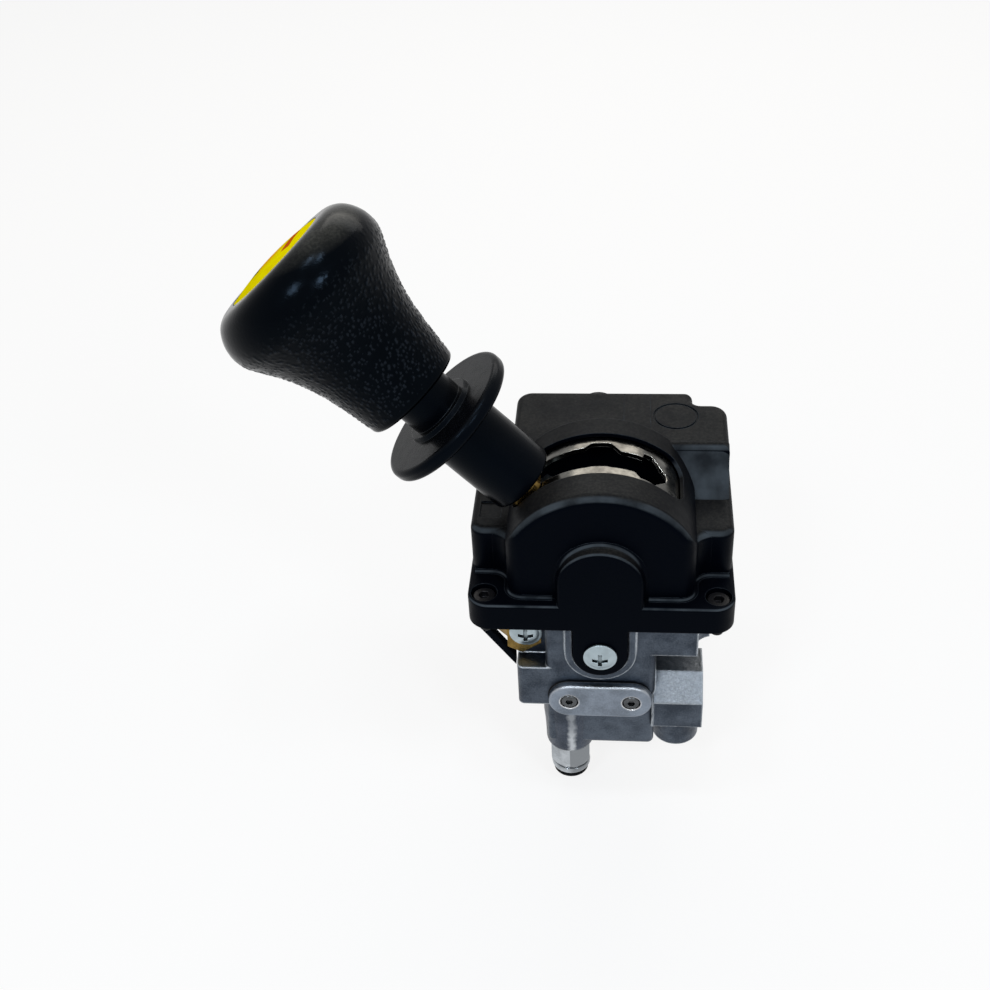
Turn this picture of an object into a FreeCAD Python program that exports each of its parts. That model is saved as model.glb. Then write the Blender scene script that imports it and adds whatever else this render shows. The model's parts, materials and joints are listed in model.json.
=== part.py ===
import FreeCAD, Part

# Tipper control valve: a cab-mounted air valve worked by a gated lever with a lift-to-release collar.
# Millimetres. X points right, Y to the back, Z up. The origin is the centre of the four
# mounting screws, on the underside of the cover's flange. The lever stands at the left end of its gate.
import math
import os
import re

import Sketcher

# Driving sizes: name, value, meaning. Angles are in degrees.
SIZES = (
    ("flange_width", 80, "flange, side to side"),
    ("flange_depth", 74, "flange, front to back"),
    ("flange_thick", 9.5, "flange thickness"),
    ("flange_corner", 6.5, "flange corner radius"),
    ("screw_in_across", 5, "mounting screws, in from the flange's sides"),
    ("screw_in_deep", 6, "mounting screws, in from the flange's front and back"),
    ("seat_recess", 1, "recess in the flange's underside over the valve body"),
    ("screw_hole", 4.4, "mounting screw hole"),
    ("head_recess", 8, "recess for a mounting screw's head"),
    ("recess_deep", 5, "depth of that recess"),
    ("box_half", 39.5, "half the width of the cover above its flange"),
    ("box_front", 21.5, "front wall of the shoulders, ahead of the origin"),
    ("box_back", 34.2, "back wall of the cover, behind the origin"),
    ("box_top", 26, "top of the shoulders"),
    ("ear_inner", 28, "inner wall of the screw pockets, from the middle"),
    ("ear_back", 27, "back wall beside the rear screw pockets"),
    ("ear_round", 4.5, "corner radius in plan of the cover's walls"),
    ("step_round", 2.6, "corner radius in plan beside the rear pockets"),
    ("cover_wall", 2.6, "wall of the cover"),
    ("pivot_high", 17.5, "lever pivot above the flange's underside"),
    ("lever_ahead", 12, "plane in which the lever swings, ahead of the origin"),
    ("lever_offset", 3.1, "lever's axis, to the left of the pivot"),
    ("dome_radius", 30, "outer radius of the dome about the pivot"),
    ("dome_half", 28, "half the width of the dome's front"),
    ("dome_front", 33, "front of the dome, ahead of the origin"),
    ("dome_back", 6.5, "back of the dome, behind the origin"),
    ("dome_round", 2.6, "rounding along the dome's front edge"),
    ("slot_front", 21, "front edge of the slot in the dome, ahead of the origin"),
    ("slot_back", 1.3, "back edge of the slot, ahead of the origin"),
    ("slot_wall", 1.3, "wall of the dome beside the slot"),
    ("slot_left", 62.8, "left end of the slot, from upright"),
    ("slot_right", 54, "right end of the slot, from upright"),
    ("slot_round", 6.5, "corner radius of the slot"),
    ("boss_radius", 12.8, "half-round boss over the pivot's front end"),
    ("tab_half", 8.3, "half the width of the fixing tab"),
    ("tab_screw_low", 10.2, "tab screw below the flange's underside"),
    ("tab_thick", 3, "thickness of the fixing tab"),
    ("tower_left", 28, "left side of the tower"),
    ("tower_right", 38.5, "right side of the tower"),
    ("tower_front", 3.5, "front of the tower, behind the origin"),
    ("tower_back", 33.8, "back of the tower, behind the origin"),
    ("tower_top", 39.3, "top of the tower"),
    ("tower_corner", 5, "corner radius of the tower in plan"),
    ("top_round", 2.4, "rounding along the top edges of the cover"),
    ("rib_radius", 4.8, "half-round rib on the tower's back"),
    ("knockout_right", 22.5, "middle of the knock-out, right of the origin"),
    ("knockout_back", 19.7, "middle of the knock-out, behind the origin"),
    ("knockout_dia", 14.2, "knock-out disc"),
    ("groove_wide", 0.7, "width of the moulded grooves"),
    ("groove_deep", 0.5, "depth of the moulded grooves"),
    ("seat_gap", 0.3, "gap between pieces that meet"),
    ("running_gap", 0.05, "radial clearance of a shaft in its hole"),
    ("lever_lean", 43.2, "lever to the left of upright at rest"),
    ("lever_swing", 76, "whole swing of the lever"),
    ("pin_dia", 8, "pivot pin"),
    ("rod_dia", 7, "lever rod"),
    ("gate_thick", 1.5, "gate plate"),
    ("gate_front", 24, "front edge of the gate plate, ahead of the origin"),
    ("gate_back", 0.5, "back edge of the gate plate, ahead of the origin"),
    ("gate_path_front", 15.9, "front edge of the path in the gate plate, ahead of the origin"),
    ("gate_path_back", 7.4, "back edge of the path, ahead of the origin"),
    ("gate_notch", 4, "depth of the neutral notch, ahead of the origin"),
    ("gate_leg_half", 6.4, "half the width of the gate plate's legs"),
    ("gate_foot", 9, "length of the gate plate's feet"),
    ("body_left", 26.5, "left side of the valve body"),
    ("body_in", 6.5, "right side of the valve body's deck, in from the flange's side"),
    ("body_back", 20, "back of the valve body's deck"),
    ("deck_thick", 12.2, "valve body's deck"),
    ("core_half", 17, "half the width of the valve body's core"),
    ("core_back", 14, "back of the core"),
    ("core_low", 52.4, "underside of the core"),
    ("ledge_low", 19, "ledge on the left block, below the flange"),
    ("left_low", 35, "underside of the left block"),
    ("boss_left", 10, "outlet boss, left of the origin"),
    ("boss_dia", 15.5, "outlet boss"),
    ("boss_low", 56, "underside of the outlet boss"),
    ("port_flats", 25, "port boss, across its eight flats"),
    ("port_ahead", 23, "middle of the right port, ahead of the origin"),
    ("port_low", 37.1, "middle of the right port, below the flange"),
    ("port_right", 32, "face of the right port"),
    ("port_thread", 11.6, "thread of the open port"),
    ("port_deep", 12, "depth of that thread"),
    ("cast_round", 2, "cast corner radius of the valve body"),
    ("plate_pitch", 19.4, "end plate screws"),
    ("plate_low", 30.7, "middle of the end plate, below the flange"),
    ("plate_radius", 6.5, "rounded ends of the end plate"),
    ("plate_thick", 2.5, "end plate"),
    ("plunger_pitch", 19, "plungers, side to side"),
    ("plunger_stem", 5, "plunger stem"),
    ("plunger_head", 8, "ball end of a plunger"),
    ("plunger_stroke", 4, "plunger stroke over the lever's whole swing"),
    ("plunger_drop", 15, "ball end's middle below the pivot when pressed"),
    ("chamber_dia", 12, "valve chamber"),
    ("cheek_thick", 4.3, "ears that carry the pivot pin"),
    ("cheek_radius", 8, "rounded top of those ears"),
    ("cam_thick", 10, "cam, along the pin"),
    ("hub_dia", 15, "hub of the cam"),
    ("hub_long", 20, "hub, along the pin"),
    ("sleeve_dia", 22, "lower sleeve of the collar"),
    ("sleeve_start", 31.6, "foot of the collar, from the pivot"),
    ("disc_dia", 45.3, "disc of the collar"),
    ("disc_at", 62.3, "middle of the disc, from the pivot"),
    ("disc_thick", 4.4, "disc of the collar"),
    ("neck_dia", 18, "upper neck of the collar"),
    ("neck_end", 80, "top of the neck, from the pivot"),
    ("collar_lift", 8, "lift of the collar"),
    ("latch_thick", 2, "latch plate"),
    ("latch_half_wide", 5.5, "half the latch plate, along the swing"),
    ("latch_half_deep", 7.8, "half the latch plate, across the swing"),
    ("bend_at", 89.5, "bend of the rod under the knob, from the pivot"),
    ("knob_tilt", 7.2, "knob tilted back from the rod"),
    ("knob_start", 74.6, "foot of the knob, from the pivot"),
    ("knob_long", 53.5, "knob"),
    ("knob_foot_dia", 31.6, "knob at its foot"),
    ("knob_dia", 55, "knob at its widest"),
    ("knob_wide_at", 42.9, "widest place, above the knob's foot"),
    ("label_dia", 32.6, "label on the knob"),
    ("label_thick", 0.5, "label on the knob"),
    ("mount_screw", 4, "mounting screw thread"),
    ("mount_reach", 5, "mounting screws below the flange"),
    ("cover_screw", 5, "cover screw thread"),
    ("cover_screw_head", 10.2, "cover screw's washer head"),
    ("fitting_flats", 12.5, "push-in fitting, across flats"),
    ("fitting_hex", 11, "push-in fitting's hexagon, along its axis"),
    ("tube_dia", 6, "air tube that the fittings take"),
    ("silencer_dia", 12, "silencer"),
    ("silencer_long", 18, "silencer below its hexagon"),
)
NAMES = {name for name, size, meaning in SIZES}

# Sizes that follow from the driving ones
DERIVED = (
    ("boss_ahead", "(body_front - boss_dia / 2 - 0.05)"),
    ("body_front", "(flange_depth / 2 - tab_thick)"),
    ("body_right", "(flange_width / 2 - body_in)"),
    ("pitch_across", "(flange_width - 2 * screw_in_across)"),
    ("pitch_deep", "(flange_depth - 2 * screw_in_deep)"),
)

doc = FreeCAD.newDocument("tipper_control_valve")
nodes = []


def make_sheet():
    """The spreadsheet with every driving size."""
    made = doc.addObject("Spreadsheet::Sheet", "dims")
    for row, (name, size, meaning) in enumerate(SIZES, 1):
        made.set("A%d" % row, meaning)
        made.set("B%d" % row, str(size))
        made.setAlias("B%d" % row, name)
    doc.recompute()
    return made


sheet = make_sheet()


def ref(expression):
    """Writes derived sizes out, and the sheet's name in front of each driving size."""
    text = str(expression)
    for name, meaning in DERIVED:
        text = re.sub(r"\b%s\b" % name, meaning, text)
    return re.sub(r"[a-z_]+", lambda m: "dims." + m.group() if m.group() in NAMES else m.group(), text)


def size(expression):
    """The present value of an expression of sizes."""
    return float(sheet.evalExpression(ref(expression)))


def bind(thing, **places):
    """Ties properties of an object to expressions of sizes."""
    for name, expression in places.items():
        thing.setExpression(name, ref(expression))


# Sketches and features


def settle(feature):
    """Recomputes, and stops at a feature that fails."""
    doc.recompute()
    if {"Invalid", "Error"} & set(feature.State) or feature.Shape.isNull() or not feature.Shape.isValid():
        raise RuntimeError("%s fails: %s" % (feature.Name, feature.getStatusString()))
    return feature


def new_body(name, kept=True):
    body = doc.addObject("PartDesign::Body", name)
    body.Label = name
    if kept:
        nodes.append(body)
    return body


def new_sketch(body, name, plane, level):
    """A sketch on an origin plane, moved along it to a level. The XZ plane faces the front."""
    sketch = body.newObject("Sketcher::SketchObject", name + "_sketch")
    support = [item for item in body.Origin.OriginFeatures if item.Role == plane + "_Plane"]
    sketch.AttachmentSupport = (support[0], [""])
    sketch.MapMode = "FlatFace"
    sign = "-" if plane == "XZ" else ""
    sketch.setExpression(".AttachmentOffset.Base.z", ref("%s(%s)" % (sign, level)))
    return sketch


def hold_point(sketch, geometry, end, across, along):
    """Places one point of a sketch by two expressions."""
    for kind, expression in (("DistanceX", across), ("DistanceY", along)):
        number = sketch.addConstraint(Sketcher.Constraint(kind, -1, 1, geometry, end, size(expression)))
        sketch.setExpression("Constraints[%d]" % number, ref(expression))


def draw_outline(sketch, points):
    """A closed outline, counter-clockwise. A point with a radius starts an arc, and a negative one is hollow."""
    first = sketch.GeometryCount
    total = len(points)
    spots = [(size(point[0]), size(point[1])) for point in points]
    starts = []
    for index, point in enumerate(points):
        x1, y1 = spots[index]
        x2, y2 = spots[(index + 1) % total]
        if len(point) == 2:
            sketch.addGeometry(Part.LineSegment(FreeCAD.Vector(x1, y1, 0), FreeCAD.Vector(x2, y2, 0)), False)
            starts.append(1)
            continue
        radius = size(point[2])
        half = math.hypot(x2 - x1, y2 - y1) / 2
        rise = math.sqrt(max(radius * radius - half * half, 0)) * math.copysign(1, radius)
        cx = (x1 + x2) / 2 - (y2 - y1) / (2 * half) * rise
        cy = (y1 + y2) / 2 + (x2 - x1) / (2 * half) * rise
        circle = Part.Circle(FreeCAD.Vector(cx, cy, 0), FreeCAD.Vector(0, 0, 1), abs(radius))
        turn_1 = math.atan2(y1 - cy, x1 - cx)
        turn_2 = math.atan2(y2 - cy, x2 - cx)
        if radius < 0:
            turn_1, turn_2 = turn_2, turn_1
        sketch.addGeometry(Part.ArcOfCircle(circle, turn_1, turn_2), False)
        starts.append(1 if radius > 0 else 2)
    for index, point in enumerate(points):
        after = (index + 1) % total
        join = Sketcher.Constraint("Coincident", first + index, 3 - starts[index], first + after, starts[after])
        sketch.addConstraint(join)
        hold_point(sketch, first + index, starts[index], point[0], point[1])
        if len(point) == 3:
            number = sketch.addConstraint(Sketcher.Constraint("Radius", first + index, abs(size(point[2]))))
            sketch.setExpression("Constraints[%d]" % number, ref("abs(%s)" % point[2]))


def draw_circle(sketch, across, along, radius):
    number = sketch.GeometryCount
    middle = FreeCAD.Vector(size(across), size(along), 0)
    sketch.addGeometry(Part.Circle(middle, FreeCAD.Vector(0, 0, 1), size(radius)), False)
    hold_point(sketch, number, 3, across, along)
    held = sketch.addConstraint(Sketcher.Constraint("Radius", number, size(radius)))
    sketch.setExpression("Constraints[%d]" % held, ref(radius))


def draw(sketch, shapes):
    """Circles are given as (x, y, radius) and outlines as lists of points."""
    for shape in shapes:
        if isinstance(shape, tuple):
            draw_circle(sketch, *shape)
        else:
            draw_outline(sketch, shape)


def pad(body, name, plane, low, high, *shapes):
    """Adds material between two levels of a plane."""
    sketch = new_sketch(body, name, plane, high if plane == "XZ" else low)
    draw(sketch, shapes)
    feature = body.newObject("PartDesign::Pad", name)
    feature.Profile = sketch
    bind(feature, Length="(%s) - (%s)" % (high, low))
    return settle(feature)


def pocket(body, name, plane, low, high, *shapes):
    """Takes material away between two levels of a plane."""
    before = body.Shape.Volume
    sketch = new_sketch(body, name, plane, low if plane == "XZ" else high)
    draw(sketch, shapes)
    feature = body.newObject("PartDesign::Pocket", name)
    feature.Profile = sketch
    bind(feature, Length="(%s) - (%s)" % (high, low))
    settle(feature)
    if body.Shape.Volume > before - 1e-6:
        raise RuntimeError("%s cuts nothing" % name)
    return feature


def turn(body, name, *shapes):
    """A solid turned about the Z axis, from outlines in radius and height."""
    sketch = new_sketch(body, name, "XZ", "0")
    draw(sketch, shapes)
    feature = body.newObject("PartDesign::Revolution", name)
    feature.Profile = sketch
    feature.ReferenceAxis = (sketch, ["V_Axis"])
    feature.Angle = 360
    return settle(feature)


def groove(body, name, *shapes):
    """A turned cut about the Z axis."""
    before = body.Shape.Volume
    sketch = new_sketch(body, name, "XZ", "0")
    draw(sketch, shapes)
    feature = body.newObject("PartDesign::Groove", name)
    feature.Profile = sketch
    feature.ReferenceAxis = (sketch, ["V_Axis"])
    feature.Angle = 360
    settle(feature)
    if body.Shape.Volume > before - 1e-6:
        raise RuntimeError("%s cuts nothing" % name)
    return feature


def dress(body, kind, name, width, chosen):
    """A fillet or a chamfer on the edges that the test accepts."""
    tip = body.Tip
    picked = ["Edge%d" % (number + 1) for number, edge in enumerate(tip.Shape.Edges) if chosen(edge)]
    if not picked:
        raise RuntimeError("%s finds no edges" % name)
    feature = body.newObject("PartDesign::" + kind, name)
    feature.Base = (tip, picked)
    bind(feature, **{"Radius" if kind == "Fillet" else "Size": width})
    return settle(feature)


def within(edge, x=None, y=None, z=None):
    """Whether an edge lies inside the given ranges."""
    box = edge.BoundBox
    spans = ((x, box.XMin, box.XMax), (y, box.YMin, box.YMax), (z, box.ZMin, box.ZMax))
    return all(span is None or (low > span[0] - 0.02 and high < span[1] + 0.02) for span, low, high in spans)


def upright(edge):
    box = edge.BoundBox
    return box.XLength < 0.01 and box.YLength < 0.01


def place(thing, x="0", y="0", z="0", axis=None, angle="0"):
    """Moves an object to its place, and turns it about an axis."""
    if axis:
        thing.Placement = FreeCAD.Placement(FreeCAD.Vector(), FreeCAD.Rotation(FreeCAD.Vector(*axis), size(angle)))
        thing.setExpression(".Placement.Rotation.Angle", ref(angle))
    for letter, expression in (("x", x), ("y", y), ("z", z)):
        thing.setExpression(".Placement.Base.%s" % letter, ref(expression))


def on_lever(thing, offset="lever_offset"):
    """Puts a piece that is drawn upright from the pivot on the leaning lever."""
    place(thing, "-(%s) * cos(lever_lean)" % offset, "-lever_ahead", "pivot_high - (%s) * sin(lever_lean)" % offset,
          axis=(0, -1, 0), angle="lever_lean")


def on_bend(thing):
    """Puts a piece that is drawn upright from the pivot on the bent top of the lever."""
    across = size("-lever_offset * cos(lever_lean)")
    high = size("pivot_high - lever_offset * sin(lever_lean)")
    frame = shift(across, -size("lever_ahead"), high, (0, -1, 0), size("lever_lean"))
    thing.Placement = frame.multiply(bend_frame())


def bend_frame():
    """The turn of the lever's top about its bend."""
    bend = size("bend_at")
    return shift(0, 0, bend, (-1, 0, 0), size("knob_tilt")).multiply(shift(0, 0, -bend))


def copies(name, original, places):
    """One node that holds several like solids."""
    doc.recompute()
    solids = []
    for spot in places:
        solid = original.Shape.copy()
        solid.Placement = spot.multiply(original.Shape.Placement)
        solids.append(solid)
    made = doc.addObject("Part::Feature", name)
    made.Label = name
    made.Shape = Part.makeCompound(solids)
    nodes.append(made)
    return made


def shift(x, y, z, axis=(0, 0, 1), angle=0):
    return FreeCAD.Placement(FreeCAD.Vector(x, y, z), FreeCAD.Rotation(FreeCAD.Vector(*axis), angle))


def rectangle(x1, y1, x2, y2):
    return [(x1, y1), (x2, y1), (x2, y2), (x1, y2)]


def rounded_rectangle(x1, y1, x2, y2, r):
    """A rectangle with round corners, from expressions."""
    return [
        ("(%s)+(%s)" % (x1, r), y1),
        ("(%s)-(%s)" % (x2, r), y1, r),
        (x2, "(%s)+(%s)" % (y1, r)),
        (x2, "(%s)-(%s)" % (y2, r), r),
        ("(%s)-(%s)" % (x2, r), y2),
        ("(%s)+(%s)" % (x1, r), y2, r),
        (x1, "(%s)-(%s)" % (y2, r)),
        (x1, "(%s)+(%s)" % (y1, r), r),
    ]


def soften(points, radii):
    """Round corners for an outline whose sides run along the axes, from a radius or nothing for each corner."""
    spots = [(size(x), size(y)) for x, y in points]
    total = len(points)
    softened = []
    for index, (point, radius) in enumerate(zip(points, radii)):
        if not radius:
            softened.append(point)
            continue
        here = spots[index]
        before = spots[index - 1]
        after = spots[(index + 1) % total]
        arrive = [(a > b) - (a < b) for a, b in zip(here, before)]
        leave = [(a > b) - (a < b) for a, b in zip(after, here)]
        hollow = arrive[0] * leave[1] - arrive[1] * leave[0] < 0
        start = ["(%s) - (%d) * (%s)" % (value, way, radius) for value, way in zip(point, arrive)]
        end = ["(%s) + (%d) * (%s)" % (value, way, radius) for value, way in zip(point, leave)]
        softened.append((start[0], start[1], ("-(%s)" if hollow else "%s") % radius))
        softened.append((end[0], end[1]))
    return softened


def regular(sides, flats, x="0", y="0"):
    """A regular polygon by its width across flats, with a flat at the front and the back."""
    points = []
    for index in range(sides):
        angle = 360 / sides * (index + 0.5) - 90
        reach = "(%s) / 2 / cos(%g)" % (flats, 180 / sides)
        points.append(("(%s) + (%s) * cos(%g)" % (x, reach, angle), "(%s) + (%s) * sin(%g)" % (y, reach, angle)))
    return points


def tombstone(half, low, middle, radius):
    """A half-round-topped upright: straight sides up to where they meet the arc."""
    rise = "(%s) + sqrt((%s)^2 - (%s)^2)" % (middle, radius, half)
    return [
        ("-(%s)" % half, low),
        (half, low),
        (half, rise, radius),
        ("0", "(%s) + (%s)" % (middle, radius), radius),
        ("-(%s)" % half, rise),
    ]


def arch(radius, low, middle):
    """A full half circle on straight legs."""
    return [
        ("-(%s)" % radius, low),
        (radius, low),
        (radius, middle, radius),
        ("0", "(%s) + (%s)" % (middle, radius), radius),
        ("-(%s)" % radius, middle),
    ]


# The moulded cover


def box_outline(inset):
    """Plan of the cover's walls above the flange, with its screw pockets, moved inwards by an inset."""
    half = "(box_half - (%s))" % inset
    inner = "(ear_inner - (%s))" % inset
    front = "-(box_front - (%s))" % inset
    back = "(ear_back - (%s))" % inset
    rear = "(box_back - (%s))" % inset
    return [
        ("-" + half, front),
        (half, front),
        (half, back),
        (inner, back),
        (inner, rear),
        ("-" + inner, rear),
        ("-" + inner, back),
        ("-" + half, back),
    ]


def tower_outline(inset):
    """Plan of the tower, moved inwards by an inset."""
    right = "(tower_right - (%s))" % inset
    left = "-(tower_left - (%s))" % inset
    front = "(tower_front + (%s))" % inset
    back = "(tower_back - (%s))" % inset
    step = "(ear_back - (%s))" % inset
    inner = "(ear_inner - (%s))" % inset
    return [(left, front), (right, front), (right, step), (inner, step), (inner, back), (left, back)]


def make_cover():
    body = new_body("cover")
    half_width = "flange_width / 2"
    half_depth = "flange_depth / 2"
    plan = rounded_rectangle("-" + half_width, "-" + half_depth, half_width, half_depth, "flange_corner")
    pad(body, "flange", "XY", "0", "flange_thick", plan)
    round_level(body, "flange_edge", "flange_thick", "1")
    ear = "ear_round"
    step = "step_round"
    pad(body, "box", "XY", "0", "box_top", soften(box_outline("0"), [ear, ear, ear, step, step, step, step, ear]))
    round_level(body, "box_edges", "box_top", "top_round")
    pad(body, "tower", "XY", "0", "tower_top",
        soften(tower_outline("0"), [None, None, "tower_corner", step, step, "tower_corner"]))
    round_level(body, "tower_edges", "tower_top", "top_round")
    front_form = tombstone("dome_half", "0", "pivot_high", "dome_radius")
    pad(body, "dome", "XZ", "-dome_front", "dome_back", front_form)
    round_dome(body)
    pad(body, "boss", "XZ", "-flange_depth / 2", "-dome_front + 1", arch("boss_radius", "0", "pivot_high"))
    front = -size("flange_depth / 2")
    dress(body, "Fillet", "boss_edge", "1",
          lambda e: within(e, y=(front, front)) and e.BoundBox.ZMin > size("flange_thick") - 0.5)
    add_tab(body)
    add_back_rib(body)
    hollow_cover(body)
    relieve_seat(body)
    cut_slot(body)
    cut_mount_holes(body)
    add_top_marks(body)
    return body


def round_level(body, name, level, radius):
    """Rounds the edges that lie at a level."""
    height = size(level)
    dress(body, "Fillet", name, radius, lambda e: within(e, z=(height, height)))


def round_dome(body):
    front = -size("dome_front")
    low = size("flange_thick")
    dress(body, "Fillet", "dome_corners", "ear_round",
          lambda e: upright(e) and within(e, y=(front, front)) and e.BoundBox.ZMin > low - 0.1)
    dress(body, "Fillet", "dome_edge", "dome_round",
          lambda e: within(e, y=(front, front)) and e.BoundBox.ZMin > size("pivot_high"))


def add_tab(body):
    """The tab that carries the cover screw, hanging from the flange's front."""
    low = "-tab_screw_low"
    tab = [
        ("-tab_half", low, "tab_half"),
        ("0", low + " - tab_half", "tab_half"),
        ("tab_half", low),
        ("tab_half", "flange_thick / 2"),
        ("-tab_half", "flange_thick / 2"),
    ]
    pad(body, "tab", "XZ", "-flange_depth / 2", "-flange_depth / 2 + tab_thick", tab)
    pocket(body, "tab_hole", "XZ", "-flange_depth / 2 - 1", "-flange_depth / 2 + tab_thick + 1",
           ("0", low, "cover_screw / 2 + seat_gap"))


def add_back_rib(body):
    """The half-round rib on the back wall, and the sloping skirt under the flange's left side."""
    pad(body, "rib", "XY", "flange_thick", "tower_top - top_round", ("-2", "tower_back - 2", "rib_radius"))
    skirt = [
        ("-flange_width / 2 + 1.5", "0.5"),
        ("-flange_width / 2 + 1.5", "-9.8"),
        ("-body_left - 0.5", "-26.6"),
        ("-body_left - 0.5", "-23.2"),
        ("-flange_width / 2 + 3.8", "-9.2"),
        ("-flange_width / 2 + 3.8", "0.5"),
    ]
    pad(body, "skirt", "XZ", "-body_front + 9", "-body_front + 12", skirt)


def hollow_cover(body):
    """The inside: one hollow under the shoulders, one in the tower and one in the dome."""
    wall = "cover_wall"
    pocket(body, "box_hollow", "XY", "-1", "box_top - cover_wall", box_outline(wall))
    pocket(body, "tower_hollow", "XY", "-1", "tower_top - cover_wall", tower_outline(wall))
    inner = "dome_radius - cover_wall"
    pocket(body, "dome_hollow", "XZ", "-dome_front + cover_wall", "dome_back - cover_wall",
           tombstone("dome_half - cover_wall", "-1", "pivot_high", inner))
    pocket(body, "dome_hollow_wide", "XZ", "-box_front + cover_wall", "dome_back - cover_wall",
           arch(inner, "-1", "pivot_high"))
    high = "pivot_high + 12"
    thin = "(dome_radius - slot_wall)"
    cap = [("-(%s)" % "sqrt((%s)^2 - 144)" % thin, high), ("sqrt((%s)^2 - 144)" % thin, high, thin),
           ("0", "pivot_high + " + thin, thin)]
    pocket(body, "dome_hollow_thin", "XZ", "-gate_front - seat_gap", "0", cap)
    pocket(body, "dome_hollow_sides", "XZ", "-box_front + cover_wall", "0", arch(thin, "-1", "pivot_high"))


def relieve_seat(body):
    """The shallow recess in the underside that clears the valve body, so that the rim alone lies on a panel."""
    side = "(tab_half + 2.9)"
    front = "(-body_front - 0.4)"
    nose = "(-flange_depth / 2 + 0.5)"
    left = "-body_left - 7.9"
    step = "-tab_half - 4.5"
    behind = "-body_front + 4.8"
    outline = [
        (left, behind),
        (step, behind),
        (step, front),
        ("-" + side, front),
        ("-" + side, nose),
        ("-tab_half", nose),
        ("-tab_half", "-body_front"),
        ("tab_half", "-body_front"),
        ("tab_half", nose),
        (side, nose),
        (side, front),
        ("body_right + 0.6", front),
        ("body_right + 0.6", "body_back + 0.6"),
        (left, "body_back + 0.6"),
    ]
    pocket(body, "seat_relief", "XY", "-1", "seat_recess", outline)
    pads = [(x, y, "head_recess / 2 + 0.6") for x, y in screw_spots() if y.startswith("-")]
    pad(body, "screw_pads", "XY", "0", "seat_recess + 0.5", *pads)


def cut_slot(body):
    """The slot in the dome that the lever swings in, cut along radii from the pivot."""
    reach = "(dome_radius + 12)"
    side = "(dome_radius - 7)"
    left = [("-%s * sin(slot_left)" % part, "pivot_high + %s * cos(slot_left)" % part) for part in (side, reach)]
    right = [("%s * sin(slot_right)" % part, "pivot_high + %s * cos(slot_right)" % part) for part in (side, reach)]
    wedge = [left[0], right[0], right[1], ("0", "pivot_high + 2 * dome_radius"), left[1]]
    pocket(body, "slot", "XZ", "-slot_front", "-slot_back", wedge)

    def at_end(edge):
        box = edge.BoundBox
        level = min(abs(box.YMin + size("slot_front")), abs(box.YMin + size("slot_back"))) < 0.05
        return box.YLength < 0.01 and level and edge.Length < 3 and edge.Curve.TypeId == "Part::GeomLine"

    dress(body, "Fillet", "slot_corners", "slot_round", at_end)


def screw_spots():
    """The four corners of the mounting pattern."""
    return [("%spitch_across / 2" % i, "%spitch_deep / 2" % j) for i in ("-", "") for j in ("-", "")]


def cut_mount_holes(body):
    holes = [(x, y, "screw_hole / 2") for x, y in screw_spots()]
    pocket(body, "screw_holes", "XY", "-1", "flange_thick + 1", *holes)
    recesses = [(x, y, "head_recess / 2") for x, y in screw_spots()]
    pocket(body, "screw_recesses", "XY", "flange_thick - recess_deep", "flange_thick + 1", *recesses)


def add_top_marks(body):
    """The knock-out's round groove and the raised strip beside it, on the tower's top."""
    spot = ("knockout_right", "knockout_back")
    pocket(body, "knockout_groove", "XY", "tower_top - groove_deep", "tower_top + 1",
           (*spot, "knockout_dia / 2"), (*spot, "knockout_dia / 2 - groove_wide"))
    strip = rectangle("knockout_right - 16.2", "dome_back + 1", "knockout_right - 7.9", "tower_back - top_round")
    pad(body, "strip", "XY", "tower_top - 0.5", "tower_top + 0.25", strip)
    patch = rectangle("-box_half + 2.6", "-15.4", "-box_half + 9", "-7.6")
    pocket(body, "shoulder_patch", "XY", "box_top - 0.6", "box_top + 1", patch)


# The gate plate, bent over the cam under the dome


def make_gate_plate():
    body = new_body("gate_plate")
    outer = "(dome_radius - slot_wall - seat_gap)"
    inner = "(dome_radius - slot_wall - seat_gap - gate_thick)"
    omega = [
        (inner, "0"),
        (outer, "0"),
        (outer, "pivot_high", outer),
        ("0", "pivot_high + " + outer, outer),
        ("-" + outer, "pivot_high"),
        ("-" + outer, "0"),
        ("-" + inner, "0"),
        ("-" + inner, "pivot_high", "-" + inner),
        ("0", "pivot_high + " + inner, "-" + inner),
        (inner, "pivot_high"),
    ]
    pad(body, "bend", "XZ", "-gate_front", "-gate_back", omega)
    high = "pivot_high + 9.5"
    far = "dome_radius + 5"
    pocket(body, "front_trim", "XZ", "-gate_front - 1", "-lever_ahead - gate_leg_half",
           rectangle("-(%s)" % far, "-1", far, high + " + 3.7"))
    pocket(body, "back_trim", "XZ", "-lever_ahead + gate_leg_half", "-gate_back + 1",
           rectangle("-(%s)" % far, "-1", far, high))
    feet = [rectangle("%s%s" % (s, outer), "-lever_ahead - gate_leg_half", "%s(%s - gate_foot)" % (s, outer),
                      "-lever_ahead + gate_leg_half") for s in ("", "-")]
    pad(body, "feet", "XY", "0", "gate_thick", *feet)
    holes = [("%s(%s - gate_foot + 3.6)" % (s, outer), "-lever_ahead", "2.2") for s in ("", "-")]
    pocket(body, "foot_holes", "XY", "-1", "gate_thick + 1", *holes)
    cut_gate_path(body, outer)
    return body


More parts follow.
